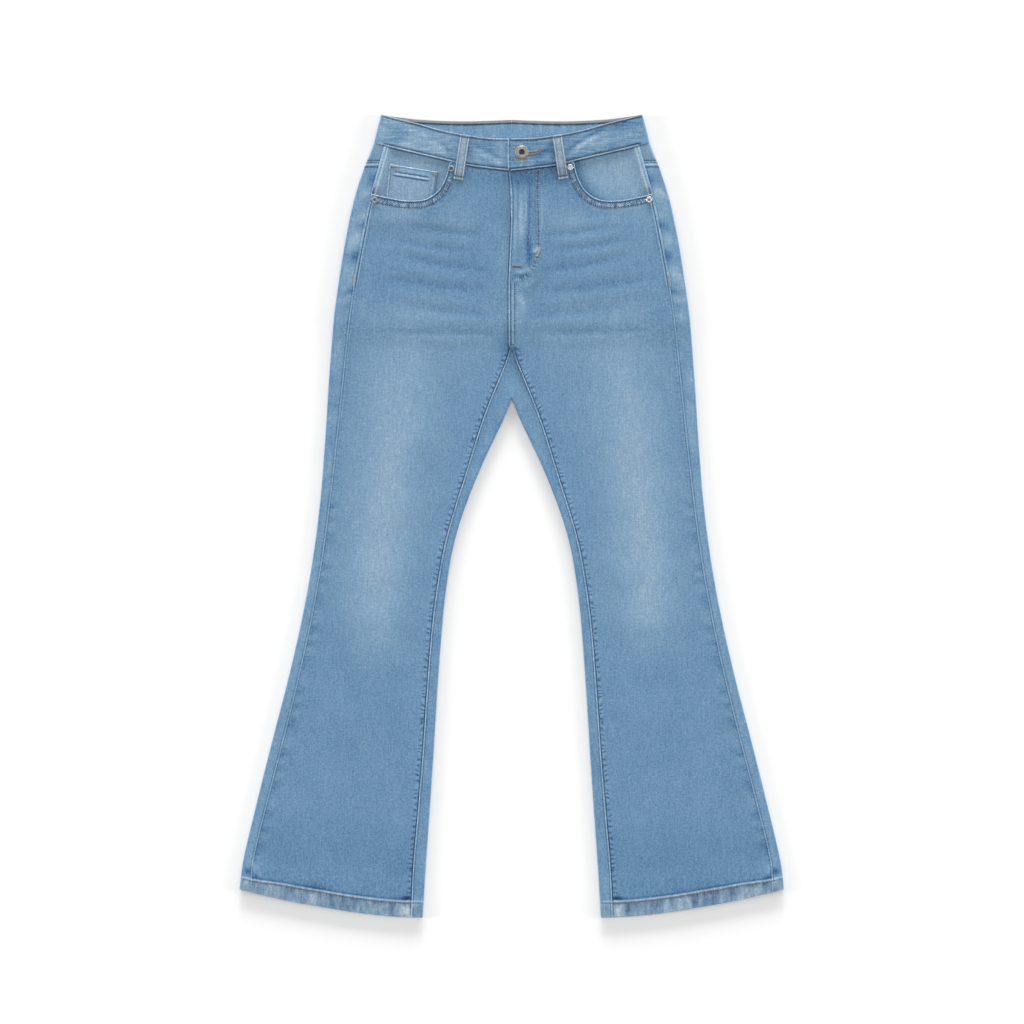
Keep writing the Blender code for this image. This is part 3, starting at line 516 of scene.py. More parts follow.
def layPatch(bm, x, y, z, facts, faceTo, wall=None):
    # a grid pulled onto arrays of places, with the facts of each point
    rows, columns = x.shape
    for name in factNames:
        if name not in bm.verts.layers.float_vector:
            bm.verts.layers.float_vector.new(name)
    walls = bm.verts.layers.deform.verify()
    layers = {name: bm.verts.layers.float_vector[name] for name in factNames}
    made = bmesh.ops.create_grid(bm, x_segments=columns - 1, y_segments=rows - 1, size=1.0)["verts"]
    for vert in made:
        c = int(round((vert.co.x + 1.0) / 2.0 * (columns - 1)))
        r = int(round((vert.co.y + 1.0) / 2.0 * (rows - 1)))
        vert.co = (x[r, c] * mm, y[r, c] * mm, z[r, c] * mm)
        for name, layer in layers.items():
            vert[layer] = [part[r, c] for part in facts[name]]
        vert[walls][0] = 1.0 if wall is None else wall[r, c]
    faces = list({face for vert in made for face in vert.link_faces})
    bmesh.ops.recalc_face_normals(bm, faces=faces)
    middle = Vector([part[rows // 2, columns // 2] * mm for part in (x, y, z)])
    probe = min(faces, key=lambda face: (face.calc_center_median() - middle).length)
    if probe.normal.dot(Vector(faceTo)) < 0.0:
        bmesh.ops.reverse_faces(bm, faces=faces)


def showPiece(name, bm, finishes, node=None, smooth=True):
    # a mesh as a piece of the garment, in place of its solid where it has one
    mesh = bpy.data.meshes.new(name)
    bm.to_mesh(mesh)
    bm.free()
    if smooth:
        mesh.shade_smooth()
    piece = bpy.data.objects.new(name, mesh)
    bpy.context.scene.collection.objects.link(piece)
    for finish in finishes:
        mesh.materials.append(materials[finish])
    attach(piece, "root")
    if node:
        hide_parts(node)
    return piece


def finishCloth(name, bm, thickness, finish, node, restsOn=()):
    # one thin shell of the given thickness
    bmesh.ops.remove_doubles(bm, verts=bm.verts, dist=0.02 * mm)
    piece = showPiece(name, bm, [finish], node)
    piece.vertex_groups.new(name="wall")
    shell = piece.modifiers.new("wall", "SOLIDIFY")
    shell.thickness = thickness * mm
    shell.offset = -1.0
    shell.vertex_group = "wall"


# Shader maths: a wire is a socket, and sums on wires add Math nodes
class Wire:
    def __init__(self, tree, socket):
        self.tree, self.socket = tree, socket

    def math(self, operation, *others):
        node = self.tree.nodes.new("ShaderNodeMath")
        node.operation = operation
        for slot, value in zip(node.inputs, (self,) + others):
            feed(self.tree, slot, value)
        return Wire(self.tree, node.outputs[0])

    def __add__(self, other):
        return self.math("ADD", other)

    __radd__ = __add__

    def __mul__(self, other):
        return self.math("MULTIPLY", other)

    __rmul__ = __mul__

    def __sub__(self, other):
        return self.math("SUBTRACT", other)

    def __rsub__(self, other):
        return (self * -1.0) + other

    def __truediv__(self, other):
        return self.math("DIVIDE", other)

    def clamp(self):
        return self.math("MAXIMUM", 0.0).math("MINIMUM", 1.0)

    def bell(self, middle, width):
        away = (self - middle) / width
        return (away * away * -1.0).math("EXPONENT")

    def wave(self, length):
        return (self * (2.0 * math.pi / length)).math("SINE")


def feed(tree, slot, value):
    if isinstance(value, Wire):
        tree.links.new(value.socket, slot)
    else:
        slot.default_value = value


class Finish:
    # a material and the one method that adds its other nodes
    def __init__(self, name):
        self.material = bpy.data.materials.new(name)
        self.material.use_nodes = True
        self.tree = self.material.node_tree
        self.shader = self.tree.nodes["Principled BSDF"]

    def node(self, kind, settings=None, sockets=None, output=0):
        node = self.tree.nodes.new(kind)
        for name, value in (settings or {}).items():
            if name == "stops":
                setStops(node.color_ramp, value)
            else:
                setattr(node, name, value)
        for name, value in (sockets or {}).items():
            feed(self.tree, node.inputs[name], value)
        return Wire(self.tree, node.outputs[output])

    def fact(self, name):
        vector = self.node("ShaderNodeAttribute", {"attribute_name": name}, output=1)
        return [self.axis(vector, number) for number in range(3)]

    def axis(self, vector, number):
        return self.node("ShaderNodeSeparateXYZ", sockets={0: vector}, output=number)

    def noise(self, vector, scale=1.0, detail=2.0, roughness=0.5):
        sockets = {"Vector": vector, "Scale": scale, "Detail": detail, "Roughness": roughness}
        return self.node("ShaderNodeTexNoise", None, sockets)

    def stretch(self, vector, factors):
        return self.node("ShaderNodeVectorMath", {"operation": "MULTIPLY"}, {0: vector, 1: factors})

    def mixColour(self, share, a, b):
        sockets = {0: share, 6: a, 7: b}
        return self.node("ShaderNodeMix", {"data_type": "RGBA", "clamp_factor": True}, sockets, output=2)

    def bump(self, amount, strength, reach):
        sockets = {"Strength": strength, "Distance": reach, "Height": amount}
        return self.node("ShaderNodeBump", None, sockets)

    def set(self, **sockets):
        for name, value in sockets.items():
            feed(self.tree, self.shader.inputs[socketNames[name]], value)
        return self.material


socketNames = {"colour": "Base Color", "roughness": "Roughness", "metallic": "Metallic", "normal": "Normal",
               "sheen": "Sheen Weight", "sheenRoughness": "Sheen Roughness", "specular": "Specular IOR Level"}


def linear(red, green, blue):
    # a colour as seen on a screen, 0 to 255, in Blender's linear values
    shares = [value / 255.0 for value in (red, green, blue)]
    return tuple(s / 12.92 if s <= 0.04045 else ((s + 0.055) / 1.055) ** 2.4 for s in shares) + (1.0,)


def setStops(ramp, stops):
    while len(ramp.elements) < len(stops):
        ramp.elements.new(0.5)
    for element, (position, colour) in zip(ramp.elements, stops):
        element.position = position
        element.color = colour


denim = {
    # from dark to pale; the darkest stop is the grey of the painted shade lines in grooves and under edges
    "stops": [(0.0, linear(40, 60, 80)), (0.25, linear(72, 112, 152)), (0.5, linear(112, 148, 179)),
              (0.7, linear(141, 169, 194)), (0.88, linear(176, 194, 209)), (1.0, linear(205, 216, 224))],
    "fadeAmount": 0.20,      # how far one unit of wash moves the tone
    "warm": linear(158, 148, 140),
    "light": (1.30, 1.225, 1.195),      # how much more light than white the cloth gets
}


def denimMaterial(name, lighter=0.0, grey=0.0):
    made = Finish(name)
    place = made.stretch(made.node("ShaderNodeTexCoord", output=3), (1000.0, 1000.0, 1000.0))   # mm
    distance, run, _ = made.fact("edge")
    ridge, groove, pucker = made.fact("edgeStyle")
    rowDistance, rowRun, rowStrength = made.fact("row")
    fadeAndShade, clouds, warm = made.fact("wash")
    roping, ribs, streaks = made.fact("crimp")

    # yarns: heather, a finer grain, long pale slubs down the warp, short ones across, the twill line
    heather = made.noise(made.stretch(place, (0.42, 0.30, 0.3)), detail=1.0) - 0.5
    grain = made.noise(made.stretch(place, (0.92, 0.74, 0.5)), detail=1.0) - 0.5
    slub = made.noise(made.stretch(place, (0.50, 0.055, 0.3)), detail=2.0) - 0.5
    weft = made.noise(made.stretch(place, (0.07, 0.55, 0.3)), detail=2.0) - 0.5
    broad = made.noise(made.stretch(place, (0.022, 0.014, 0.02)), detail=2.0) - 0.5
    streak = made.noise(made.stretch(place, (0.040, 0.36, 0.3)), detail=2.0, roughness=0.6) - 0.5
    twill = (made.axis(place, 0) * 0.9 - made.axis(place, 1)).wave(0.95)
    tone = heather * 0.30 + grain * 0.58 + slub * 0.20 + weft * 0.10 + broad * 0.10 + twill * 0.012

    # wash with its painted shade, clouds where the cloth lies doubled over its seam allowance, and streaks
    # along a band
    cloudy = made.noise(made.stretch(place, (0.050, 0.036, 0.05)), detail=3.0, roughness=0.6) - 0.5
    fibrous = (slub + weft) * 0.36 + 1.0
    tone = tone + fadeAndShade * fibrous * denim["fadeAmount"] + cloudy * clouds * 0.9 + streak * streaks * 0.9

    # a roped hem: pale and dark ribs across it, and fine ones between
    rope = made.noise(made.stretch(place, (0.09, 0.030, 0.1)), detail=3.0, roughness=0.6) - 0.5
    fineRope = made.noise(made.stretch(place, (0.62, 0.05, 0.1)), detail=1.0) - 0.5
    tone = tone + roping * (rope * 2.5 + fineRope * 0.45)

    # seams: a pale ridge and a groove beside it darkened with painted shade, both uneven, then dark and pale
    # puckers
    alongEdge = made.node("ShaderNodeCombineXYZ", sockets={0: run * 0.30, 1: distance * 0.12, 2: 0.0})
    beads = made.noise(alongEdge, detail=2.0, roughness=0.6) - 0.5
    slowEdge = made.node("ShaderNodeCombineXYZ", sockets={0: run * 0.045, 1: distance * 0.03, 2: 5.0})
    drift = made.noise(slowEdge, detail=1.0) - 0.5
    tone = tone + ridge * distance.bell(0.45, 0.75) * (beads * 1.3 + drift * 0.7 + 0.37)
    tone = tone - groove * distance.bell(2.05, 0.8) * (beads * 0.5 + drift * 0.5 + 0.42)
    alongPucker = made.node("ShaderNodeCombineXYZ", sockets={0: run * 0.34, 1: distance * 0.20, 2: 9.0})
    tick = made.noise(alongPucker, detail=1.0) - 0.5
    ripple = (run + drift * 24.0).wave(7.2) * 0.8 + tick * 2.4
    dark = ((ripple - 0.15) * 1.3).clamp()
    pale = ((ripple * -1.0 - 0.3) * 1.4).clamp()
    nearEdge = distance.bell(5.4, 2.4) * (drift * 1.4 + 1.0)
    tone = tone + pucker * (nearEdge * (pale * 0.15 - dark * 0.34) - distance.bell(2.1, 0.8) * 0.14)

    # rows of stitches pull the cloth into fine ribs across them
    alongRow = made.node("ShaderNodeCombineXYZ", sockets={0: rowRun * 0.40, 1: rowDistance * 0.13, 2: 3.0})
    rib = made.noise(alongRow, detail=1.0) - 0.5 + (rowRun + rowDistance * 0.9 + drift * 8.0).wave(2.9) * 0.16
    nearRow = rowDistance.bell(0.0, 2.8)
    tone = tone + rowStrength * nearRow * rib * 0.8 - rowStrength * rowDistance.bell(0.0, 0.75) * 0.26
    tone = tone + ribs * (rib * 2.0 - 0.04)
    tone = tone + lighter + 0.5

    colour = made.node("ShaderNodeValToRGB", {"stops": denim["stops"]}, {"Fac": tone})
    brown = (warm + rowStrength * nearRow * 0.05 + ribs * 0.14 + grey).clamp()
    colour = made.mixColour(brown, colour, denim["warm"])
    colour = made.stretch(colour, [1.0 / share for share in denim["light"]])
    relief = heather * 0.30 + grain * 0.24 + slub * 0.14 + twill * 0.05
    relief = relief + pucker * nearEdge * ripple * -0.30
    relief = relief + rowStrength * nearRow * rib * 0.9 + ribs * rib * 1.6
    relief = relief + roping * (rope * 2.0 + fineRope * 0.6)
    return made.set(colour=colour, roughness=0.9, normal=made.bump(relief, 0.24, 0.0006), sheen=0.10,
                    sheenRoughness=0.5, specular=0.25)


def underCloth(colour):
    # a thread's colour, less what the light over the cloth adds to it
    return tuple(value / share for value, share in zip(colour, denim["light"])) + (1.0,)


def threadMaterial(name, colour, other):
    return plainMaterial(name, underCloth(colour), underCloth(other), 0.8)


def plainMaterial(name, colour, other, roughness, metallic=0.0, scale=900.0):
    # one finish with a fine grain between two colours
    made = Finish(name)
    grain = made.noise(made.node("ShaderNodeTexCoord", output=3), scale, 3.0, 0.6)
    colour = made.mixColour(((grain - 0.5) * 2.2 + 0.5).clamp(), colour, other)
    return made.set(colour=colour, roughness=grain * 0.2 + (roughness - 0.1), metallic=metallic,
                    normal=made.bump(grain, 0.25, 0.0003))


materials = {
    "denim": denimMaterial("washedDenim"),
    "inset": denimMaterial("insetDenim"),
    "margin": denimMaterial("foldedDenim"),
    "loop": denimMaterial("loopDenim", lighter=0.13, grey=0.20),
    "paleThread": threadMaterial("paleThread", linear(158, 184, 204), linear(200, 216, 224)),
    "greyThread": threadMaterial("greyThread", linear(140, 144, 148), linear(206, 202, 196)),
    "darkThread": threadMaterial("darkThread", linear(40, 62, 88), linear(84, 106, 130)),
    "brownThread": threadMaterial("brownThread", linear(72, 86, 98), linear(126, 130, 132)),
    "tanThread": threadMaterial("tanThread", linear(124, 112, 102), linear(184, 172, 158)),
    "oliveThread": threadMaterial("oliveThread", linear(116, 120, 102), linear(170, 168, 144)),
    "copper": plainMaterial("agedCopper", linear(112, 106, 98), linear(188, 178, 165), 0.42, 0.8, 700.0),
    "darkMetal": plainMaterial("darkMetal", linear(34, 46, 60), linear(70, 86, 102), 0.5, 0.6),
    "nickel": plainMaterial("satinNickel", linear(160, 164, 168), linear(226, 226, 228), 0.32, 0.9),
    "dullNickel": plainMaterial("dullNickel", linear(98, 116, 132), linear(142, 158, 170), 0.5, 0.3),
    "brass": plainMaterial("dullBrass", linear(66, 68, 58), linear(112, 112, 94), 0.5, 0.7),
    "zipTape": plainMaterial("zipTape", linear(52, 74, 104), linear(84, 106, 134), 0.85),
}
print("materials made")

# Spacing of the points across a panel: fine beside its seams
lip = np.array([0.0, 0.35, 0.8, 1.4, 2.1, 2.9, 3.8, 5.0, 6.8, 9.5])


def bothLips(width, step):
    middle = np.linspace(lip[-1], width - lip[-1], int((width - 2 * lip[-1]) / step) + 2)[1:-1]
    return np.concatenate([lip, middle, (width - lip)[::-1]]) / width


def legRows(top, step=4.0):
    # rows of the cloth from a height down to the hem, fine in the hem
    hemRows = np.array([0.0, 0.4, 1.0, 1.9, 3.2, 5.0, 7.5, 10.0, 12.2, 13.4, 14.4, 15.2, 16.0, 16.8, 17.6,
                        18.4, 19.2, 20.0, 20.8, 21.6, 22.6, 24.0, 26.0])
    upper = np.arange(top, height["hem"] + 28.0, -step)
    return np.concatenate([upper, height["hem"] + hemRows[::-1]])


def hemWall(x, y):
    # the turned hem is twice as thick as the rest
    inHem = (y < height["knee"]) & (y - hemLine(x) < hemFold(x) + 1.2)
    return np.where(inHem, 1.0, cloth["panel"] / cloth["hem"])


def raisedSeams(x, y):
    # the front stands higher beside its seams and round the pocket opening, where it lies doubled
    besideSeam = np.minimum(nearest(x, y, paths["side"])[0], nearest(x, y, paths["inseam"])[0])
    fromPocket = nearest(x, y, paths["pocket"])[0]
    edge = 1.0 - ease(fromPocket, rise["pocketReach"] - 0.8, rise["pocketReach"] + 0.8)
    return rise["seam"] * (1.0 - ease(besideSeam, 0.0, rise["seamReach"])) + rise["pocket"] * edge


def hemTone(x, y):
    # how far a place is inside the hem, and its height above the hem's ridge
    fromFold = y - hemLine(x) - hemFold(x)
    return (1.0 - ease(fromFold, -3.0, -1.0)) * (y < 0), fromFold


def frontInner(y, side):
    edge = flyEdge(y)
    if side == right:
        edge = -(edge + mix(fly["riseTuck"], fly["tuck"], ease(y, fly["tuckFrom"], fly["tuckTo"])))
    seam = inseam(np.minimum(y, height["crotch"])) + cloth["seam"]
    return np.where(y > height["crotch"] + cloth["seam"], edge, seam)


front = {
    "flat": (0.222, 0.992), "area": 0.1788, "flyColumns": 28, "flyReach": 0.24,
    "blockRows": np.array([0.0, 0.35, 0.8, 1.4, 2.1, 2.9, 3.8, 5.0, 6.4, 7.8, 9.0, 9.8, 10.6, 12.0, 14.5,
                           18.0, 22.0, 26.0, 30.0, 34.0, 38.0, 42.0, 46.0, 50.0]) / 50.0,
}


def pocketTop(u, side):
    # upper edge of a front at a share of its width: along the waist seam, then round the opening
    start = float(frontInner(np.array(451.0), side))
    share = readCurve([0.0, 1.0], [0.0, 1.0], u / pocket["corner"])
    x = mix(start, pocket["across"][0], share)
    y = waistLine("frontSeam", x) - cloth["gap"]
    place = np.interp(u, pocket["columns"], pocket["places"])
    order = np.arange(len(pocket["across"]))
    px = readCurve(order, pocket["across"], place)
    py = readCurve(order, pocket["height"], place)
    beyond = u >= pocket["corner"]
    return np.where(beyond, px, x), np.where(beyond, py, y)


def frontGrid(side):
    u = np.concatenate([bothLips(190.0, 4.5), [pocket["corner"]], np.linspace(0.4, 0.6, 12)])
    if side == left:
        u = np.concatenate([u, np.linspace(0.05, front["flyReach"], front["flyColumns"])])
    u = np.unique(np.round(u, 4))[None, :]
    rows = legRows(height["block"])[:, None]
    xOut, _ = onEdge(sideSeam, rows)
    xIn, _ = onEdge(lambda y: frontInner(y, side), rows)
    x = mix(xIn, xOut - cloth["seam"], u)
    y = rowHeight(rows, x)
    sink = front["blockRows"][:-1, None]
    topX, topY = pocketTop(u, side)
    blockX = mix(topX, x[:1], sink)
    blockY = mix(topY, y[:1], sink)
    blockX[:, 0] = frontInner(blockY[:, 0], side)
    blockX[:, -1] = sideSeam(blockY[:, -1]) - cloth["seam"]
    return np.concatenate([blockX, x]), np.concatenate([blockY, y])


def makeFront(name, node, side):
    x, y = frontGrid(side)
    facts = emptyFacts(x)
    edges = [(paths["sideHip"], (0.8, 0.8, 0.15, 1.0)), (paths["sideLeg"], (0.42, 0.35, 0.30, 1.1)),
             (paths["inseam"], (0.95, 0.8, 1.0, 1.0)), (paths["pocket"], (0.85, 1.1, 0.0, 0.85)),
             (paths["frontSeam"], (0.0, 0.0, 0.3, 1.0)), (paths["hemEdge"], (0.25, 0.0, 0.0, 1.0))]
    rows = [(offsetPath(paths["pocket"], -9.4), 1.0), (paths["hemRow"], 1.8)]
    if side == left:
        edges.append((paths["flyEdge"], (0.95, 0.55, 0.0, 1.1)))
        rows += [(paths["flyStitch"], 1.5), (paths["riseRow"], 1.1)]
    else:
        # the right front's edge under the fly: no ridge, only a dark groove of painted shadow cast by the
        # left front
        edges.append((mirrorPath(paths["flyEdge"], right), (0.0, 1.0, 0.1, 1.6)))
    noteSeams(facts, x, y, edges, rows)
    fromSide, fromPocket, fromWaist = [nearest(x, y, paths[path])[0]
                                       for path in ("side", "pocket", "frontSeam")]
    lift, tone = foldField(x, y, whiskers, changed=side == right)
    kneeLift, kneeTone = foldField(x, y, kneeFolds, changed=side == right)
    z = topSurface(side * x, y, side) + raisedSeams(x, y) + lift + kneeLift + seamRelief(facts)
    tone = 0.44 * (tone + kneeTone) + washField(x, y, side)
    if side == left:
        flyLift, flyTone = foldField(x, y, flyFolds)
        z += flyLift
        inRise = ease(y, 222.0, 228.0) * (1.0 - ease(y, 300.0, 308.0))
        fromFly = x - flyEdge(y)
        tone += 0.9 * flyTone + inRise * (0.7 * bell(fromFly, 5.3, 1.3) - 0.9 * bell(fromFly, 2.7, 0.8))
    # painted shadow of the waistband: a dark line on the front just below the waist seam
    tone -= 2.0 * bell(fromWaist, 0.8, 0.8) * (x < 82.0)
    # the double seam of the hip, fainter down to the knee: paler along its row of stitches, with painted
    # shade in the groove beside it
    inHip = ease(y, 296.0, 306.0) + 0.35 * ease(y, -20.0, 130.0) * (1.0 - ease(y, 296.0, 306.0))
    tone += 0.9 * inHip * bell(fromSide, 3.9, 0.9) - 0.5 * inHip * bell(fromSide, 6.0, 1.2)
    pocketBand = 0.75 * ease(fromPocket, 2.6, 3.8) * (1.0 - ease(fromPocket, 7.8, 9.4)) * (x > 78.0)
    tone += 0.9 * bell(fromPocket, 11.6, 1.5) * ease(x, 90.0, 120.0) - 0.15 * pocketBand
    inHem, fromFold = hemTone(x, y)
    tone += 2.0 * bell(fromFold, 0.0, 1.1) - 1.0 * bell(fromFold, 2.7, 1.6) + 0.6 * inHem
    tone -= 0.35 * ease(-y, 380.0, 450.0) * (1.0 - inHem)
    # slow marks down the leg beside the side seam
    slow = np.sin(y / 4.3 + 1.7 * np.sin(y / 13.0)) * (1.0 - ease(y, 0.0, 60.0)) * (1.0 - inHem)
    tone += 0.42 * slow * bell(fromSide, 7.0, 6.0)
    facts["wash"] = [tone, 0.1 + 0.3 * inHem, 0.17 * inHem + 0.28 * bell(fromFold, 0.0, 1.0)]
    facts["crimp"] = spread(x, 0.7 * inHem, pocketBand, 0.0)
    bm = bmesh.new()
    layPatch(bm, side * x, y, z, facts, (0, 0, 1), hemWall(x, y))
    finishCloth(name, bm, cloth["hem"], "denim", node, restsOn=[node.replace("front", "back")])


back = {
    "flat": (0.313, 0.975), "area": 0.2333,
    "under": np.linspace(0.0, 1.0, 28),
    "margin": np.array([0.0, 0.12, 0.26, 0.4, 0.53, 0.64, 0.73, 0.8, 0.86, 0.91, 0.95, 0.98, 1.0]),
    "foldSteps": 8,
}


def foldRadius(xFold, yFold, inward):
    return loft(xFold + inward * 2.5, yFold) / 2.0


def forkReach(xFold, yFold):
    # how far the inner fold's curve reaches in: next to nothing where the legs meet
    return foldRadius(xFold, yFold, 1) * mix(0.1, 1.0, ease(height["apex"] - yFold, 0.0, 9.0))


def foldArc(xFold, y, bottom, radius, outwards, reach):
    angle = np.linspace(0.0, math.pi, back["foldSteps"] + 1)[None, :]
    x = xFold - outwards * reach * (1.0 - np.sin(angle))
    return x, y + 0.0 * x, bottom + radius * (1.0 - np.cos(angle)) + 0.0 * x


def backFacts(x, y, facing):
    # wash of the back: what shows round the folds is cloudy, and the underside has its own folds
    lift, tone = foldField(x, y, seatFolds)
    tone = 0.8 * tone + 0.7 * readCurve(kneeFade["height"], kneeFade["tone"], y) * bell(x, 170.0, 50.0)
    tone = tone + 0.9 * bell(np.hypot((x - 105.0) / 70.0, (y - 330.0) / 90.0), 0.0, 1.0)
    return np.where(facing, 0.0, lift), np.where(facing, 0.0, tone)


def underStart(rows):
    # where the underside begins: at the centre seam, and below the fork at the inner fold's curve
    reach = forkReach(innerFold(rows), rows)
    return np.where(rows > height["apex"], cloth["seam"], innerFold(rows) + reach)


def makeBack(name, node, side):
    bm = bmesh.new()
    legs = legRows(height["apex"])[:, None]
    seat = np.concatenate([np.linspace(height["yokeSide"] - cloth["gap"], 453.0, 12),
                           np.arange(450.0, 156.0, -4.0), [height["apex"]]])[:, None]
    topEdges = [(paths["sideHip"], (0.5, 0.4, 0.15, 1.0)), (paths["sideLeg"], (0.1, 0.6, 0.12, 1.7)),
                (paths["inseam"], (0.1, 0.6, 0.12, 1.8)), (paths["hemEdge"], (0.25, 0.0, 0.0, 1.0)),
                (paths["yokeSide"], (0.0, 2.0, 0.0, 1.8))]
    underEdges = [(paths["centreBack"], (0.8, 0.5, 0.4, 1.0)), (paths["hemEdge"], (0.25, 0.0, 0.0, 1.0)),
                  (yokePath(190.0), (0.4, 0.6, 0.4, 1.0))]

    def addPart(x, y, z, top, faceTo, extraTone=0.0, cloudy=0.0):
        facts = emptyFacts(x)
        noteSeams(facts, x, y, topEdges if top else underEdges, [(paths["hemRow"], 0.9)])
        lift, tone = backFacts(x, y, top)
        if top:
            besideSeam = np.minimum(nearest(x, y, paths["side"])[0], nearest(x, y, paths["inseam"])[0])
            lift = rise["seam"] * (1.0 - ease(besideSeam, 0.0, rise["seamReach"])) + seamRelief(facts)
            outerPart = (np.abs(x) > 150.0) * 1.0
            fromSeam = np.maximum(0.0, x - sideSeam(y))
            for middle, reach, amount in marginPatches:
                across = bell(fromSeam, 3.0, 8.0) if amount < 0.0 else bell(fromSeam, 11.0, 9.0)
                tone = tone + outerPart * amount * across * bell(y + 0.25 * fromSeam, middle, reach)
            tone = tone + outerPart * (1.3 * bell(y, 459.8, 1.6) - 2.2 * bell(y, 456.6, 1.3))
            # dark marks where the seams run into the hem
            tone = tone - 2.2 * spot(x, y, (345.0, -465.0), (5.0, 4.0))
            tone = tone - 1.4 * spot(x, y, (123.0, -512.0), (5.0, 6.0))
        inHem, fromFold = hemTone(x, y)
        tone = tone + 1.2 * bell(fromFold, 0.0, 1.0)
        facts["wash"] = [tone + extraTone + 0.5 * inHem, cloudy + 0.15 * inHem, 0.17 * inHem]
        facts["crimp"] = spread(x, 0.7 * inHem, 0.0, 0.0)
        layPatch(bm, side * x, y, z + lift, facts, faceTo, hemWall(x, y))

    def addFold(rows, fold, seam, outwards, curve, marginTone, marginClouds):
        # the cloth round a fold, and on its upper side up to the seam
        xFold, yFold = onEdge(fold, rows)
        radius, reach = curve(xFold, yFold)
        xStart = xFold - outwards * reach
        x, y, z = foldArc(xFold, yFold, trunkLift(yFold), radius, outwards, reach)
        y[:, 0] = rowHeight(rows, xStart, underside=True)[:, 0]
        z[:, 0] = trunkLift(y[:, 0])
        addPart(x, y, z, True, (outwards * side, 0, 0), -0.1, 0.3)
        xSeam, _ = onEdge(seam, rows)
        mx = mix(xStart, xSeam + outwards * cloth["seam"], back["margin"][None, :])
        my = rowHeight(rows, mx)
        mz = trunkLift(my) + loft(mx, my)
        mz[:, 0] = z[:, -1]
        my[:, 0] = y[:, -1]
        addPart(mx, my, mz, True, (0, 0, 1), marginTone(my), marginClouds(my))

    def outerCurve(xFold, yFold):
        radius = foldRadius(xFold, yFold, -1)
        return radius, radius

    def innerCurve(xFold, yFold):
        return foldRadius(xFold, yFold, 1), forkReach(xFold, yFold)

    for rows, onLeg in ((seat, False), (legs, True)):
        xFold, yFold = onEdge(outerFold, rows)
        if onLeg:
            xIn, yIn = onEdge(innerFold, rows)
            xStart = xIn + forkReach(xIn, yIn)
        else:
            xStart = underStart(rows)
        x = mix(xStart, xFold - foldRadius(xFold, yFold, -1), back["under"][None, :])
        y = rowHeight(rows, x, underside=True)
        addPart(x, y, trunkLift(y), False, (0, 0, -1))
        addFold(rows, outerFold, sideSeam, 1, outerCurve, lambda y: 0.32 + 0.3 * ease(y, 230.0, 330.0),
                lambda y: 0.4 * ease(y, -60.0, 140.0) + 0.15)
        if onLeg:
            addFold(rows, innerFold, inseam, -1, innerCurve, lambda y: 0.0, lambda y: 0.25)
    strip = np.concatenate([np.arange(height["crotch"] - 0.8, 156.0, -4.0), [156.5, height["apex"]]])[:, None]
    x = mix(underStart(strip), inseam(strip) - cloth["seam"], back["margin"][None, :])
    y = strip + 0.0 * x
    addPart(x, y, trunkLift(y) + loft(x, y), True, (0, 0, 1), 0.0, 0.2)
    finishCloth(name, bm, cloth["hem"], "margin", node)


yoke = {
    "flat": (0.232, 0.078), "area": 0.0088,
    "rows": np.array([1.0, 0.98, 0.95, 0.9, 0.8, 0.65, 0.5, 0.35, 0.2, 0.12, 0.08, 0.05, 0.02, 0.0]),
}


def makeYoke(name, node, side):
    bm = bmesh.new()
    v = yoke["rows"][:, None]
    rows = mix(height["yokeSide"], outer["height"][1] - cloth["gap"], v)
    xFold = outerFold(rows)
    radius = foldRadius(xFold, rows, -1)
    # along the waist seam the margin has only a groove, a dark line of painted shade under the waistband
    topEdges = [(paths["sideHip"], (0.5, 0.4, 0.1, 1.0)), (paths["yokeSide"], (0.5, 1.4, 0.0, 1.0)),
                (paths["frontSeam"], (0.0, 1.6, 0.0, 1.4))]
    underEdges = [(yokePath(195.0), (0.8, 0.5, 0.3, 1.0)), (paths["backSeam"], (0.0, 0.8, 0.3, 1.5))]

    def addPart(x, y, z, faceTo, top):
        facts = emptyFacts(x)
        noteSeams(facts, x, y, topEdges if top else underEdges)
        if top:
            z = z + seamRelief(facts)
        facts["wash"] = spread(x, 0.45, 0.4, 0.08) if top else spread(x, 0.1, 0.2, 0.08)
        layPatch(bm, side * x, y, z, facts, faceTo)

    x = mix(cloth["seam"], xFold - radius, np.linspace(0, 1, 30)[None, :])
    y = mix(yokeLine(x), waistLine("backSeam", x) - cloth["gap"], v)
    addPart(x, y, np.full(x.shape, level["trunk"]), (0, 0, -1), False)
    ax, ay, az = foldArc(xFold, rows, level["trunk"], radius, 1, radius)
    ay[:, 0] = y[:, -1]
    addPart(ax, ay, az, (side, 0, 0), True)
    mx = mix(xFold - radius, sideSeam(rows) + cloth["seam"], back["margin"][None, :])
    my = mix(height["yokeSide"], waistLine("frontSeam", mx) - cloth["gap"], v)
    mz = level["trunk"] + loft(mx, my)
    mz = mz + rise["seam"] * ease(1.0 - (mx - sideSeam(my)) / rise["seamReach"], 0.0, 1.0)
    mz[:, 0] = az[:, -1]
    my[:, 0] = ay[:, -1]
    addPart(mx, my, mz, (0, 0, 1), True)
    finishCloth(name, bm, cloth["panel"], "margin", node, restsOn=[node.replace("yoke", "back")])


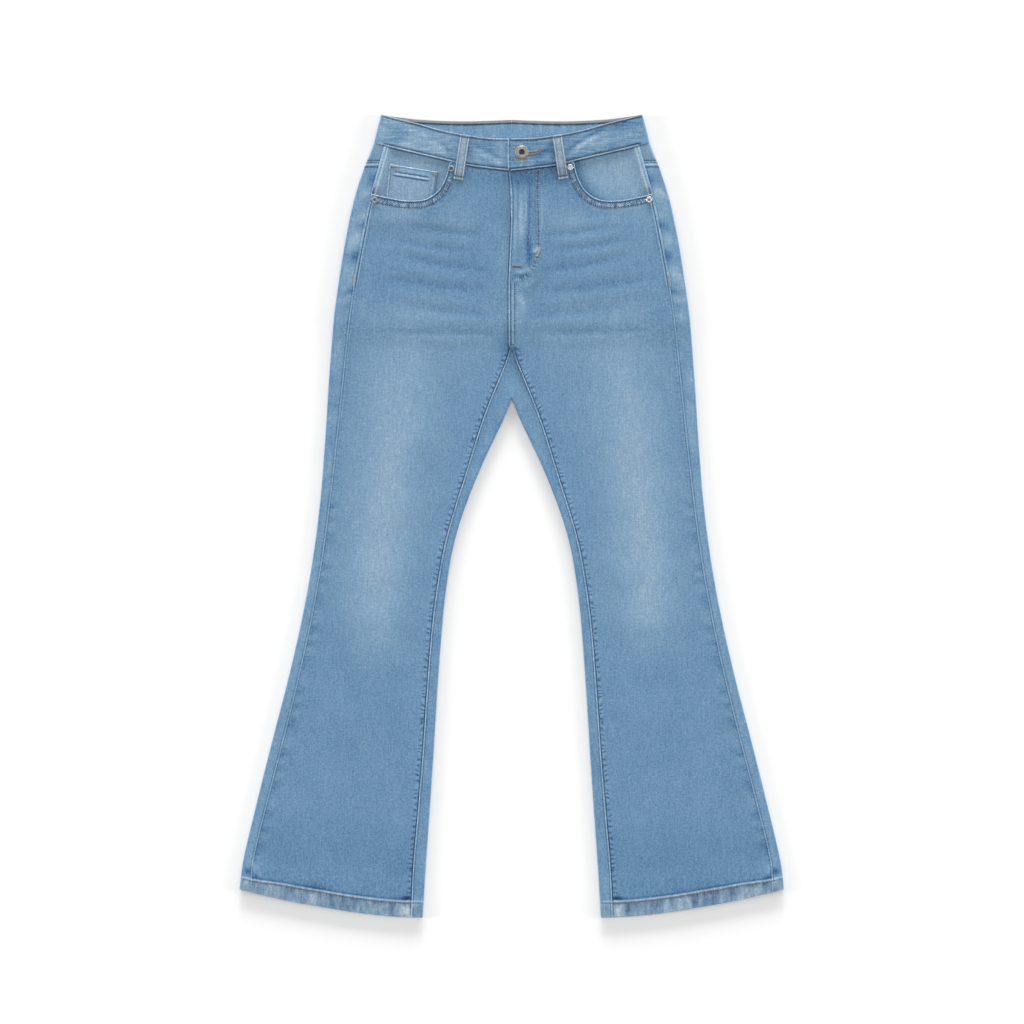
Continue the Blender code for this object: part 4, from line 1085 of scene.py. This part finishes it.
band = {
    "flat": (0.392, 0.041), "area": 0.0148,       # the outer layer of one half
    "overlapEnd": -5.0, "underlapEnd": 30.0, "fadeAndShade": 40.0,
    # place, reach and tone of the streaks on its inside
    "backStreaks": [(-127, 3, 0.6), (-107, 2.5, 0.7), (-79.6, 2.2, 1.2), (-66.5, 2.4, 0.7), (-49, 4, -0.4),
                    (-31, 3, 0.6), (-12, 2.2, 0.9), (-2, 3, -0.3), (11.4, 2.4, 0.9), (24, 2.6, 0.6),
                    (38, 2.2, 1.0), (52, 3, 0.8), (60, 3, -0.5), (68, 2.2, 0.9), (81, 2.4, 0.8),
                    (92, 4, -0.4), (102, 3, 0.5), (122, 3, 0.5)],
    "heights": np.array([0.0, 0.35, 0.8, 1.3, 1.9, 2.6, 3.4, 4.4, 6.0, 9.0, 13.0, 17.0, 21.0, 25.0, 29.0,
                         32.0, 34.0, 35.6, 36.6, 37.4, 38.1, 38.7, 39.2, 39.65, 40.0]) / 40.0,
}


def bandPlace(share, v, top, seam):
    xLow = share * outerFold(outer["height"][1])
    xTop = share * outerFold(outer["height"][0])
    y = mix(waistLine(seam, xLow), waistLine(top, xTop), v)
    return mix(xLow, xTop, v), y


def makeWaistband(name, node, side):
    bm = bmesh.new()
    v = band["heights"][:, None]
    low, high = paths["frontSeam"], paths["frontTop"]
    width, yFold = bandPlace(1.0, v, "frontTop", "frontSeam")
    radius = readCurve(lofting["height"], lofting["fold"], height["bandMiddle"]) / 2.0
    end = band["overlapEnd"] if side == left else -band["underlapEnd"]
    # the front, from its end at the fly to the fold
    span = float(width[0, 0]) - end
    columns = np.unique(np.concatenate([lip / span, np.linspace(0.0, 1.0, 62)]))[None, :]
    x = mix(end, width - radius, columns)
    _, y = bandPlace(x / width, v, "frontTop", "frontSeam")
    nearFold = ease(x, width - band["fadeAndShade"], width - radius)
    z = mix(bandSurface(side * x, side) + 0.0 * x, level["trunk"] + 2.0 * radius, nearFold)
    facts = emptyFacts(x)
    edges = [(low, (0.7, 0.8, 0.0, 0.8)), (high, (0.60, 0.8, 0.0, 0.9))]
    if side == left:
        edges.append((np.array([[end, 440.0], [end, 500.0]]), (1.0, 0.5, 0.2, 0.9)))
    noteSeams(facts, x, y, edges)
    lift, tone = foldField(side * x, y, bandFolds[side])
    fromLow, fromHigh = nearest(x, y, low)[0], nearest(x, y, high)[0]
    inMiddle = 0.4 + 0.6 * bell(y - waistLine("frontSeam", x), 14.0, 12.0)
    tone = 1.3 * tone + 0.5 * ease(x, 60.0, 110.0) * inMiddle
    if side == left:
        tone -= 0.25 * ease(x, 70.0, 100.0)
    else:
        tone += 0.4 * ease(x, 50.0, 80.0) + 0.8 * bell(x, 14.0, 7.0)
    # dark lines of painted shade in the grooves inside both edges, and a paler line right at the lower edge
    tone -= 2.0 * bell(fromLow, 3.5, 0.7) + 1.2 * bell(fromHigh, 2.8, 0.7) - 0.5 * bell(fromLow, 1.2, 0.8)
    facts["wash"] = spread(x, tone, 0.42, 0.3 * bell(np.minimum(fromLow, fromHigh), 0.8, 1.2))
    facts["crimp"] = spread(x, 0.0, 0.0, 0.8)
    z = z + lift + seamRelief(facts)
    layPatch(bm, side * x, y, z, facts, (0, 0, 1))
    # the fold at the side
    ax, ay, az = foldArc(width, yFold, level["trunk"], radius, 1, radius)
    facts = emptyFacts(ax)
    noteSeams(facts, ax, ay, [(low, (0.6, 0.6, 0.0, 0.8)), (high, (0.6, 0.5, 0.0, 0.9))])
    facts["wash"] = spread(ax, 0.0, 0.5, 0.0)
    share = np.linspace(0.0, 1.0, back["foldSteps"] + 1)[None, :]
    _, backY = bandPlace((width - radius) / width, v, "backTop", "backSeam")
    ay = mix(backY, yFold, ease(share, 0.0, 0.5))
    ay[:, -1] = y[:, -1]
    az[:, -1] = z[:, -1]
    layPatch(bm, side * ax, ay, az, facts, (side, 0, 0))
    # the back, from the fold to the centre
    bx = mix(width - radius, cloth["seam"], np.linspace(0.0, 1.0, 110)[None, :])
    _, by = bandPlace(bx / width, v, "backTop", "backSeam")
    facts = emptyFacts(bx)
    noteSeams(facts, bx, by, [(paths["backSeam"], (0.8, 0.8, 0.3, 0.8)),
                              (paths["backTop"], (0.3, 1.2, 0.0, 0.5))])
    fromTop = waistLine("backTop", bx) - by
    inRim = 1.0 - ease(fromTop, 2.6, 3.6)
    tone = 0.25 + 0.6 * inRim - 0.9 * bell(fromTop, 4.2, 0.8)
    for place, reach, amount in band["backStreaks"]:
        tone = tone + 0.7 * amount * bell(side * bx, place, reach) * (1.0 - ease(fromTop, 6.0, 20.0))
    facts["wash"] = spread(bx, tone, 0.25, 0.85 * inRim)
    layPatch(bm, side * bx, by, np.full(bx.shape, level["trunk"]), facts, (0, 0, -1))
    finishCloth(name, bm, cloth["band"], "denim", node,
                restsOn=["yokeLeft" if side == left else "yokeRight"])


def flatPiece(name, node, x, y, underside, thickness, finish, facts, faceUp=True,
              relief=0.0, restsOn=()):
    # a flat layer: its grid is the side that shows, and its wall goes the other way
    bm = bmesh.new()
    z = np.full(x.shape, underside + (thickness if faceUp else 0.0)) + relief
    layPatch(bm, x, y, z, facts, (0, 0, 1 if faceUp else -1))
    finishCloth(name, bm, thickness, finish, node, restsOn)


facing = {"flat": (0.118, 0.082), "area": 0.0068, "columns": 60, "rows": 40,
          # tone of its shade, wide and close to the pocket's edge
          "shade": {right: (0.1, 0.2), left: (1.5, 0.5)}}


def makeFacing(name, node, side):
    # seen in the pocket opening, and a little way under the front
    # finer beside the side seam and the waist seam
    u = 1.0 - np.linspace(1.0, 0.0, facing["columns"])[None, :] ** 1.35
    v = np.linspace(0.0, 1.0, facing["rows"])[:, None] ** 1.4
    topX = mix(71.0, 165.0, u)
    topY = waistLine("frontSeam", topX) - cloth["gap"]
    order = np.arange(len(pocket["across"]))
    place = u * order[-1]
    lowX = readCurve(order, pocket["across"], place) - 10.0 * (1.0 - ease(u, 0.0, 0.45))
    lowY = readCurve(order, pocket["height"], place) - 10.5 * ease(u, 0.0, 0.4) - 2.0
    x, y = mix(topX, lowX, v), mix(topY, lowY, v)
    x[:, -1] = sideSeam(y[:, -1]) + 1.6
    facts = emptyFacts(x)
    noteSeams(facts, x, y, [(paths["sideHip"], (0.8, 0.4, 0.0, 1.0))])
    fromPocket, fromWaist, fromSide = [nearest(x, y, paths[path])[0]
                                       for path in ("pocket", "frontSeam", "sideHip")]
    deep, beside = facing["shade"][side]
    # painted shade under the pocket's edge, and a dark line of painted shadow under the waistband
    tone = 0.8 - deep * bell(fromPocket, 0.0, 11.0) * bell(x, 92.0, 30.0)
    tone = tone - beside * bell(fromPocket, 0.0, 4.0) - 2.0 * bell(fromWaist, 0.8, 0.8)
    tone = tone + 0.9 * bell(fromSide, 3.9, 0.9) + 0.7 * bell(fromSide, 3.0, 3.0)
    opening = y - readCurve(pocket["across"], pocket["height"], x)
    relief = 2.7 * ease(1.0 - fromSide / 18.0, 0.0, 1.0) * ease(opening, 1.0, 12.0)
    facts["wash"] = spread(x, tone, 0.18, 0.01)
    flatPiece(name, node, side * x, y, level["trunk"] + level["facing"], cloth["inset"], "inset", facts,
              relief=relief)


coin = {
    "corners": [(-159.6, 460.3), (-96.2, 450.1), (-103.5, 407.0), (-165.0, 404.5)],
    "flat": (0.066, 0.062), "area": 0.0031,
    "rows": [0.0, 0.015, 0.03, 0.05, 0.08, 0.12, 0.15, 0.175, 0.2, 0.22, 0.24, 0.26, 0.28, 0.3, 0.32,
             0.34, 0.37, 0.4, 0.45, 0.5, 0.6, 0.7, 0.8, 0.9, 1.0],
    # share of its width and tone of the lines down it
    "lines": [(0.05, -0.5), (0.10, -0.4), (0.84, -0.5), (0.90, -0.7), (0.995, -2.4)],
}


def makeCoinPocket(name, node):
    a, b, c, d = [np.array(corner) for corner in coin["corners"]]
    top = along([a, b], 4.0)
    u = bothLips(64.0, 4.0)[None, :, None]
    v = np.array(coin["rows"])[:, None, None]
    grid = mix(mix(a, b, u), mix(d, c, u), v)
    x, y = grid[:, :, 0], grid[:, :, 1]
    facts = emptyFacts(x)
    noteSeams(facts, x, y, [(top, (0.45, 0.6, 0.0, 1.0)), (along([b, c], 4.0), (0.2, 0.5, 0.3, 1.0)),
                            (along([a, d], 4.0), (0.5, 0.6, 0.2, 1.0))])
    fromTop = nearest(x, y, top)[0]
    between = ease(u[:, :, 0], 0.06, 0.12) * (1.0 - ease(u[:, :, 0], 0.80, 0.86))
    ridge = between * bell(fromTop, 11.3, 1.5)
    tone = 0.9 + 1.4 * ridge - 3.4 * between * (bell(fromTop, 8.8, 1.0) + bell(fromTop, 13.8, 1.0))
    for share, amount in coin["lines"]:
        tone = tone + amount * bell(u[:, :, 0], share, 0.018)
    facts["wash"] = spread(x, tone, 0.12, 0.04 + 0.04 * ease(fromTop, 16.0, 22.0))
    flatPiece(name, node, x, y, level["trunk"] + level["second"], cloth["inset"], "inset", facts,
              relief=seamRelief(facts) + 0.25 * ridge, restsOn=["facingRight"])


backPocket = {
    "corners": [(40.0, 386.0), (176.0, 407.0), (169.0, 283.0), (110.0, 251.0), (46.0, 268.0)],
    "flat": (0.138, 0.170), "area": 0.0172,
}


def makeBackPocket(name, node, side):
    a, b, c, foot, d = [np.array(corner) for corner in backPocket["corners"]]
    u = bothLips(134.0, 7.0)
    point = (foot[0] - d[0]) / (c[0] - d[0])
    low = [mix(d, foot, t / point) if t < point else mix(foot, c, (t - point) / (1.0 - point)) for t in u]
    grid = mix(mix(a, b, u[None, :, None]), np.array(low)[None], bothLips(130.0, 7.0)[:, None, None])
    x, y = grid[:, :, 0], grid[:, :, 1]
    facts = emptyFacts(x)
    rim = along([a, b, c, foot, d, a], 6.0)
    noteSeams(facts, x, y, [(rim, (0.9, 0.6, 0.3, 1.0))], [(offsetPath(along([a, b], 6.0), -12.0), 0.8)])
    patch = bell(np.hypot((x - 108.0) / 60.0, (y - 325.0) / 60.0), 0.0, 1.0)
    facts["wash"] = spread(x, 0.3 + 0.5 * patch, 0.2, 0.0)
    flatPiece(name, node, side * x, y, 0.0, cloth["loop"], "denim", facts, faceUp=False,
              restsOn=["floor"])


shield = {"flat": (0.041, 0.156), "area": 0.0060, "inner": -7.0, "outer": 34.0, "foot": 22.0, "top": 451.0,
          "low": 297.0}


def makeFlyShield(name, node):
    v = np.linspace(0.0, 1.0, 34)[:, None]
    reach = [shield["foot"]] + [shield["outer"]] * 3
    rightEdge = np.maximum(readCurve([0.0, 0.2, 0.28, 1.0], reach, 1.0 - v), shield["foot"])
    x = mix(shield["inner"], rightEdge, np.linspace(0.0, 1.0, 14)[None, :])
    y = mix(shield["top"], shield["low"] + 6.0 * (x - shield["inner"]) / 30.0, v)
    facts = emptyFacts(x)
    noteSeams(facts, x, y, [(np.array([[34.0, 453.0], [34.0, 330.0], [22.0, 304.0]]), (0.6, 0.4, 0.0, 1.0))])
    facts["wash"] = spread(x, -0.4, 0.0, 0.0)
    flatPiece(name, node, x, y, level["trunk"] + level["facing"], cloth["inset"], "denim", facts)


zipper = {"centre": (14.8, 381.4), "tape": (24.4, 139.0, 0.5), "tooth": (4.6, 0.9, 0.5), "teeth": 56,
          "firstTooth": 316.0, "toothStep": 2.2, "toothLift": 0.74, "lean": 0.9}


def addBlock(bm, size, place):
    # a box about a place
    block = bmesh.ops.create_cube(bm, size=1.0)["verts"]
    bmesh.ops.scale(bm, vec=[part * mm for part in size], verts=block)
    bmesh.ops.translate(bm, vec=[part * mm for part in place], verts=block)


def makeZip(name, node):
    # closed teeth on their tape, all of it under the fly
    bm = bmesh.new()
    base = level["trunk"] + level["second"]
    across, up = zipper["centre"]
    addBlock(bm, zipper["tape"], (across, up, base + zipper["tape"][2] / 2.0))
    tapeFaces = len(bm.faces)
    for number in range(zipper["teeth"]):
        lean = zipper["lean"] if number % 2 else -zipper["lean"]
        up = zipper["firstTooth"] + number * zipper["toothStep"]
        addBlock(bm, zipper["tooth"], (across + lean, up, base + zipper["toothLift"]))
    bm.faces.ensure_lookup_table()
    for face in bm.faces[tapeFaces:]:
        face.material_index = 1
    showPiece(name, bm, ["zipTape", "brass"], node, smooth=False)


loops = {
    "width": 13.0, "bulge": 0.8, "flat": (0.013, 0.060), "area": 0.00076, "step": (14.0, 1.0),
    "tacks": (0.03, 0.915),         # shares of its length where it is sewn down
    "places": {
        "loopFrontRight": ("loop_front_right", (-61.3, 497.6), (-70.1, 439.5), True),
        "loopFrontLeft": ("loop_front_left", (59.2, 497.6), (67.6, 440.5), True),
        "loopSideRight": ("loop_side_right", (-122.0, 518.0), (-124.0, 461.0), False),
        "loopSideLeft": ("loop_side_left", (122.0, 518.0), (124.0, 461.0), False),
        "loopCentreBack": ("loop_centre_back", (0.0, 517.5), (0.0, 459.0), False),
    },
}


def loopSurface(x, y, t, side):
    seam = waistLine("frontSeam", x)
    onBand = ease(y - seam, -loops["step"][0], -loops["step"][1])
    z = mix(topSurface(x, y, side), bandSurface(x, side), onBand)
    return z + cloth["gap"] + cloth["loop"] + loops["bulge"] * np.sin(math.pi * t)


def acrossLoop(top, low):
    # a step of one across a loop
    way = (low - top) / np.hypot(*(low - top))
    return np.array([-way[1], way[0]])


def makeLoop(name, node, top, low, onTop):
    top, low = np.array(top), np.array(low)
    side = left if low[0] > 0 else right
    across = acrossLoop(top, low) * loops["width"] / 2.0
    t = np.concatenate([[0.0, 0.008, 0.02, 0.04], np.linspace(0.07, 0.93, 26), [0.96, 0.98, 0.992, 1.0]])
    half = np.array([0.2, 0.4, 0.54, 0.66, 0.77, 0.87, 0.95, 1.0])
    u = np.concatenate([-half[::-1], [0.0], half])
    grid = (top + (low - top) * t[:, None])[:, None, :] + across * u[None, :, None]
    x, y = grid[:, :, 0], grid[:, :, 1]
    facts = emptyFacts(x)
    sides = [along([top + sign * across, low + sign * across], 4.0) for sign in (1, -1)]
    ends = [along([end - across, end + across], 3.0) for end in (top, low)]
    noteSeams(facts, x, y, [(path, (0.1, 0.0, 0.3, 1.1)) for path in sides]
              + [(path, (0.2, 0.0, 0.0, 1.0)) for path in ends])
    run = t[:, None] + 0.0 * x
    tack = bell(run, loops["tacks"][1], 0.022) + 0.7 * bell(run, loops["tacks"][0], 0.016)
    away = np.abs(u[None, :])
    # darker along its rows of stitches and paler along its folded rims; the dark lines along both long edges
    # and across both ends are painted shadow
    tone = 0.7 - 1.4 * bell(away, 0.56, 0.10) + 1.9 * bell(away, 0.80, 0.09) - 3.0 * bell(away, 1.0, 0.08)
    tone = tone - 1.8 * tack + 1.0 * bell(run, 0.962, 0.018)
    tone = tone - 2.0 * (bell(run, 0.0, 0.012) + bell(run, 1.0, 0.012))
    facts["wash"] = spread(x, tone, 1.0, 0.15 * tack + 0.03)
    z = np.zeros(x.shape)
    if onTop:
        z = loopSurface(x, y, t[:, None], side) + 0.7 * seamRelief(facts) - 0.25 * tack
    bm = bmesh.new()
    layPatch(bm, x, y, z, facts, (0, 0, 1 if onTop else -1))
    finishCloth(name, bm, cloth["loop"], "loop", node,
                ["waistbandLeft" if side == left else "waistbandRight"])


def makeBoth(make, name, node):
    for side, hand in ((right, "Right"), (left, "Left")):
        make(name + hand, node + "_" + hand.lower(), side)


makeBoth(makeFront, "front", "front")
print("fronts made")
makeBoth(makeBack, "back", "back")
makeBoth(makeYoke, "yoke", "yoke")
print("backs and yokes made")
makeBoth(makeWaistband, "waistband", "waistband")
for loopName, loopFacts in loops["places"].items():
    makeLoop(loopName, *loopFacts)
print("waistband and loops made")
makeBoth(makeFacing, "facing", "pocket_facing")
makeCoinPocket("coinPocket", "coin_pocket")
makeBoth(makeBackPocket, "backPocket", "back_pocket")
makeFlyShield("flyShield", "fly_shield")
makeZip("flyZip", "zip")
print("pockets and fly made")

button = {
    "at": (13.1, 475.4), "darkRadius": 3.9, "segments": 64,
    "profile": [(0.0, 1.55), (1.6, 1.5), (2.6, 1.65), (3.1, 2.1), (3.4, 2.6), (4.0, 2.95), (5.0, 3.1),
                (6.2, 3.05), (7.3, 2.75), (7.7, 2.45), (7.9, 2.5), (8.35, 2.2), (8.75, 1.5), (8.6, 0.6),
                (8.35, 0.0), (2.5, 0.0)],
}
rivets = {
    "profile": [(0.0, 1.15), (0.9, 1.1), (1.4, 0.85), (1.9, 0.8), (2.4, 1.1), (2.9, 1.35), (3.5, 1.25),
                (4.0, 0.85), (4.2, 0.35), (4.15, 0.0), (0.0, 0.0)],
    "segments": 40,
    # name, node, finish of the ring and radius of the brass inside it
    "places": [("rivetOuterRight", "rivet_1", "dullNickel", 1.5),
               ("rivetInnerRight", "rivet_2", "dullNickel", 2.3),
               ("rivetInnerLeft", "rivet_3", "nickel", 0.0), ("rivetOuterLeft", "rivet_4", "nickel", 1.2)],
}


def spunPiece(name, node, profile, segments, place, finishes, innerRadius):
    # a profile spun about the vertical through a place, its middle in the second finish
    bm = bmesh.new()
    x, y, z = place
    verts = [bm.verts.new(((x + r) * mm, y * mm, (z + h) * mm)) for r, h in profile]
    edges = [bm.edges.new(pair) for pair in zip(verts, verts[1:])]
    bmesh.ops.spin(bm, geom=verts + edges, cent=(x * mm, y * mm, z * mm), axis=(0, 0, 1),
                   angle=2 * math.pi, steps=segments, use_merge=True)
    bmesh.ops.remove_doubles(bm, verts=bm.verts, dist=0.005 * mm)
    bmesh.ops.recalc_face_normals(bm, faces=bm.faces)
    centre = Vector((x * mm, y * mm, 0.0))
    for face in bm.faces:
        away = (face.calc_center_median() - centre).to_2d().length / mm
        face.material_index = 1 if away < innerRadius else 0
    showPiece(name, bm, finishes, node)


buttonX, buttonY = button["at"]
buttonZ = float(bandSurface(np.array(buttonX), left)) + cloth["gap"]
shankFoot = level["trunk"] + level["band"] + cloth["band"] + cloth["gap"] - buttonZ
shank = [(button["profile"][-1][0], shankFoot), (0.0, shankFoot)]
spunPiece("waistButton", "button", button["profile"] + shank, button["segments"],
          (buttonX, buttonY, buttonZ), ["copper", "darkMetal"], button["darkRadius"])
for rivetName, rivetNode, ringName, brassRadius in rivets["places"]:
    lowCorner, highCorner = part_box(rivetNode)
    centreX, centreY = (lowCorner.x + highCorner.x) / 2 / mm, (lowCorner.y + highCorner.y) / 2 / mm
    spunPiece(rivetName, rivetNode, rivets["profile"], rivets["segments"],
              (centreX, centreY, lowCorner.z / mm), [ringName, "brass"], brassRadius)
print("button and rivets made")


# Sewing: every stitch is a short bead of thread, and each colour of thread is one piece
threads = {colour: bmesh.new() for colour in ("pale", "grey", "dark", "brown", "tan", "olive")}
stitch = {"length": 3.1, "gap": 0.55, "width": 0.62, "flatness": 0.7, "tackLean": 0.25, "tackThick": 0.6,
          "segments": 6, "rings": 3}


def addBead(bm, start, end, width, thick):
    # a thread's bead between two points
    start, end = Vector(start), Vector(end)
    way = end - start
    turn = way.to_track_quat("X", "Z").to_matrix().to_4x4()
    size = Matrix.Diagonal((way.length / 2.0, width / 2.0, thick / 2.0, 1.0))
    matrix = Matrix.Scale(mm, 4) @ Matrix.Translation((start + end) / 2.0) @ turn @ size
    bmesh.ops.create_uvsphere(bm, u_segments=stitch["segments"], v_segments=stitch["rings"], radius=1.0,
                              matrix=matrix @ Matrix.Rotation(math.pi / 2, 4, "Y"))


def sewRow(colour, path, surface, length=stitch["length"], width=stitch["width"], lift=0.0):
    # stitches along a path, on a surface given as a function of place
    pitch = length + stitch["gap"]
    cut = stitch["gap"] / pitch / 2.0
    points = along(path, pitch)
    points = np.column_stack([points, surface(points[:, 0], points[:, 1]) + lift])
    for here, there in zip(points, points[1:]):
        addBead(threads[colour], mix(here, there, cut), mix(here, there, 1 - cut), width,
                width * stitch["flatness"])


def sewTack(colour, start, end, surface, width, lift=0.25):
    # a bar tack: close threads across a short line
    points = along([start, end], stitch["width"])
    way = (points[-1] - points[0]) / np.hypot(*(points[-1] - points[0]))
    side = np.array([-way[1], way[0]]) * width / 2.0
    for number, point in enumerate(points):
        lean = way * (stitch["tackLean"] if number % 2 else -stitch["tackLean"])
        a, b = point + side + lean, point - side - lean
        z = float(surface(np.array(point[0]), np.array(point[1]))) + lift
        addBead(threads[colour], (*a, z), (*b, z), stitch["width"], stitch["tackThick"])


def frontTopFor(side):
    return lambda x, y: topSurface(x, y, side) + raisedSeams(np.abs(x), y)


def bandTop(x, y):
    return bandSurface(x, left if x.mean() > 0 else right) + 0.0 * x


def coinTop(x, y):
    return 0.0 * x + level["trunk"] + level["second"] + cloth["inset"]


def loopTopFor(side, top, low):
    return lambda x, y: loopSurface(x, y, (top[1] - y) / (top[1] - low[1]), side)


for side in (left, right):
    onFront = frontTopFor(side)
    for colour, path, looks in (
            ("brown", offsetPath(paths["pocket"], -2.9), {"width": 0.6}),
            ("dark", offsetPath(paths["pocket"], -9.4), {}),
            ("pale", offsetPath(paths["inseam"][2:], 0.9), {"width": 0.75}),
            ("pale", offsetPath(paths["sideHip"], -3.9), {}),
            ("pale", offsetPath(paths["sideLeg"], -0.8), {}),
            ("brown", hemPath(131.5, 341.5, fromFold=-2.2), {"length": 3.4, "width": 1.5, "lift": 0.18})):
        sewRow(colour, mirrorPath(path, side), onFront, **looks)
    start = 2.0 if side == left else 8.0
    for path in (bandPath("frontTop", -3.0, start, 160.0), bandPath("frontSeam", 3.3, start, 160.0)):
        sewRow("brown", mirrorPath(path, side), bandTop, length=2.4)
    sewTack("grey", (side * 205.6, 315.6), (side * 207.0, 301.3), onFront, 2.6)
onLeft = frontTopFor(left)
for shift in (-3.4, 3.4):
    sewRow("brown", offsetPath(paths["flyStitch"], shift), onLeft)
sewRow("dark", paths["riseRow"], onLeft)
sewRow("dark", offsetPath(columnPath(flyEdge, 304.0, 226.0), 2.7), onLeft)
sewTack("brown", (0.6, 326.4), (12.4, 326.0), onLeft, 3.0)
sewTack("grey", (37.4, 351.4), (32.6, 339.6), onLeft, 3.6)
crotchTack = [(-3.4, 224.4), (1.0, 224.8), (4.4, 222.8), (5.0, 219.6), (2.4, 217.6), (-1.2, 219.6),
              (-3.4, 222.0), (-2.8, 216.6), (1.6, 215.0), (5.4, 214.6)]
sewRow("dark", smoothPath(crotchTack, 1.0), onLeft, length=1.6, width=1.7, lift=1.5)
for start, end in (((-158.0, 457.6), (-148.2, 456.0)), ((-104.6, 449.2), (-98.6, 445.2))):
    sewTack("olive", start, end, coinTop, 2.6, lift=0.35)
for offset in (3.0, 7.0):
    for ends in (((-159.6 + offset, 456.0), (-164.6 + offset, 407.0)),
                 ((-98.2 - offset, 446.0), (-104.8 - offset, 408.5))):
        sewRow("grey", along(ends, 3.65), coinTop, lift=0.1)
for loopNode, loopTop, loopLow, loopOnTop in loops["places"].values():
    if not loopOnTop:
        continue
    top, low = np.array(loopTop), np.array(loopLow)
    onLoop = loopTopFor(left if loopLow[0] > 0 else right, top, low)
    cross = acrossLoop(top, low)
    for share in loops["tacks"]:
        middle = mix(top, low, share)
        sewTack("brown", middle - cross * 5.6, middle + cross * 5.6, onLoop, 2.4, lift=0.1)
    for shift in (-3.8, 3.8):
        ends = [mix(top, low, share) + cross * shift for share in (0.06, 0.88)]
        sewRow("brown", along(ends, 3.65), onLoop)

# The buttonhole: close stitches round a slit, narrower to its end
buttonhole = {
    "path": [(21.0, 474.4), (26.0, 474.6), (31.0, 475.6), (36.0, 477.4), (41.3, 480.0)],
    "slit": 0.35, "wide": 3.5, "narrow": 1.1, "step": 0.7, "thread": (0.72, 0.7),
}
slit = smoothPath(buttonhole["path"], buttonhole["step"])
reach = np.linspace(buttonhole["wide"], buttonhole["narrow"], len(slit))[:, None]
for sign in (-1, 1):
    inside = offsetPath(slit, sign * buttonhole["slit"])
    outside = offsetPath(slit, sign * reach)
    for a, b in zip(inside, outside):
        z = float(bandSurface(np.array(a[0]), left)) + 0.25
        addBead(threads["tan"], (*a, z), (*b, z - 0.15), *buttonhole["thread"])
sewRow("brown", slit, bandTop, length=2.0, width=0.6, lift=0.3)
for colour, bm in threads.items():
    showPiece(colour + "Thread", bm, [colour + "Thread"])
print("stitches sewn")

# The floor, the light and the camera straight above
studio = {
    "floorSize": 20.0, "floorColour": linear(243, 243, 243), "cameraHeight": 4.471, "lens": 120.0,
    "centre": (0.00026, 0.00524), "ambient": 0.40,
    "overhead": {"height": 2.8, "size": 2.6, "power": 20.5},
    # low soft lights all round, most of it from beyond the waist: direction, height and softness in
    # degrees, and strength
    "low": [("beyond", 90.0, 9.0, 12.0, 3.2), ("beyondLeft", 112.0, 9.0, 14.0, 1.75),
            ("beyondRight", 68.0, 9.0, 14.0, 1.75), ("fromLeft", 180.0, 11.0, 14.0, 1.95),
            ("fromRight", 0.0, 11.0, 14.0, 1.95)],
}


def setUp(name, made, place):
    holder = bpy.data.objects.new(name, made)
    holder.location = place
    bpy.context.scene.collection.objects.link(holder)
    return holder


bm = bmesh.new()
bmesh.ops.create_grid(bm, x_segments=1, y_segments=1, size=studio["floorSize"] / 2)
floorMesh = bpy.data.meshes.new("floor")
bm.to_mesh(floorMesh)
bm.free()
floorMesh.materials.append(Finish("paleFloor").set(colour=studio["floorColour"], roughness=0.9, specular=0.0))
setUp("floor", floorMesh, (0.0, 0.0, -0.0002))
overhead = bpy.data.lights.new("overhead", "AREA")
overhead.size = studio["overhead"]["size"]
overhead.energy = studio["overhead"]["power"]
setUp("overhead", overhead, (0.0, 0.0, studio["overhead"]["height"]))
for name, turn, rising, softness, strength in studio["low"]:
    lamp = bpy.data.lights.new(name, "SUN")
    lamp.angle = math.radians(softness)
    lamp.energy = strength
    turn, rising = math.radians(turn), math.radians(rising)
    towards = Vector((math.cos(turn) * math.cos(rising), math.sin(turn) * math.cos(rising), math.sin(rising)))
    holder = setUp(name, lamp, towards * 3.0)
    holder.rotation_mode = "QUATERNION"
    holder.rotation_quaternion = (-towards).to_track_quat("-Z", "Y")
world = bpy.data.worlds.new("studio")
world.use_nodes = True
world.node_tree.nodes["Background"].inputs["Color"].default_value = (1.0, 1.0, 1.0, 1.0)
world.node_tree.nodes["Background"].inputs["Strength"].default_value = studio["ambient"]
bpy.context.scene.world = world
bpy.context.scene.view_settings.view_transform = "Standard"
camera = bpy.data.cameras.new("camera")
camera.lens = studio["lens"]
camera.sensor_width = 36.0
bpy.context.scene.camera = setUp("camera", camera, (*studio["centre"], studio["cameraHeight"]))
print("studio lit")
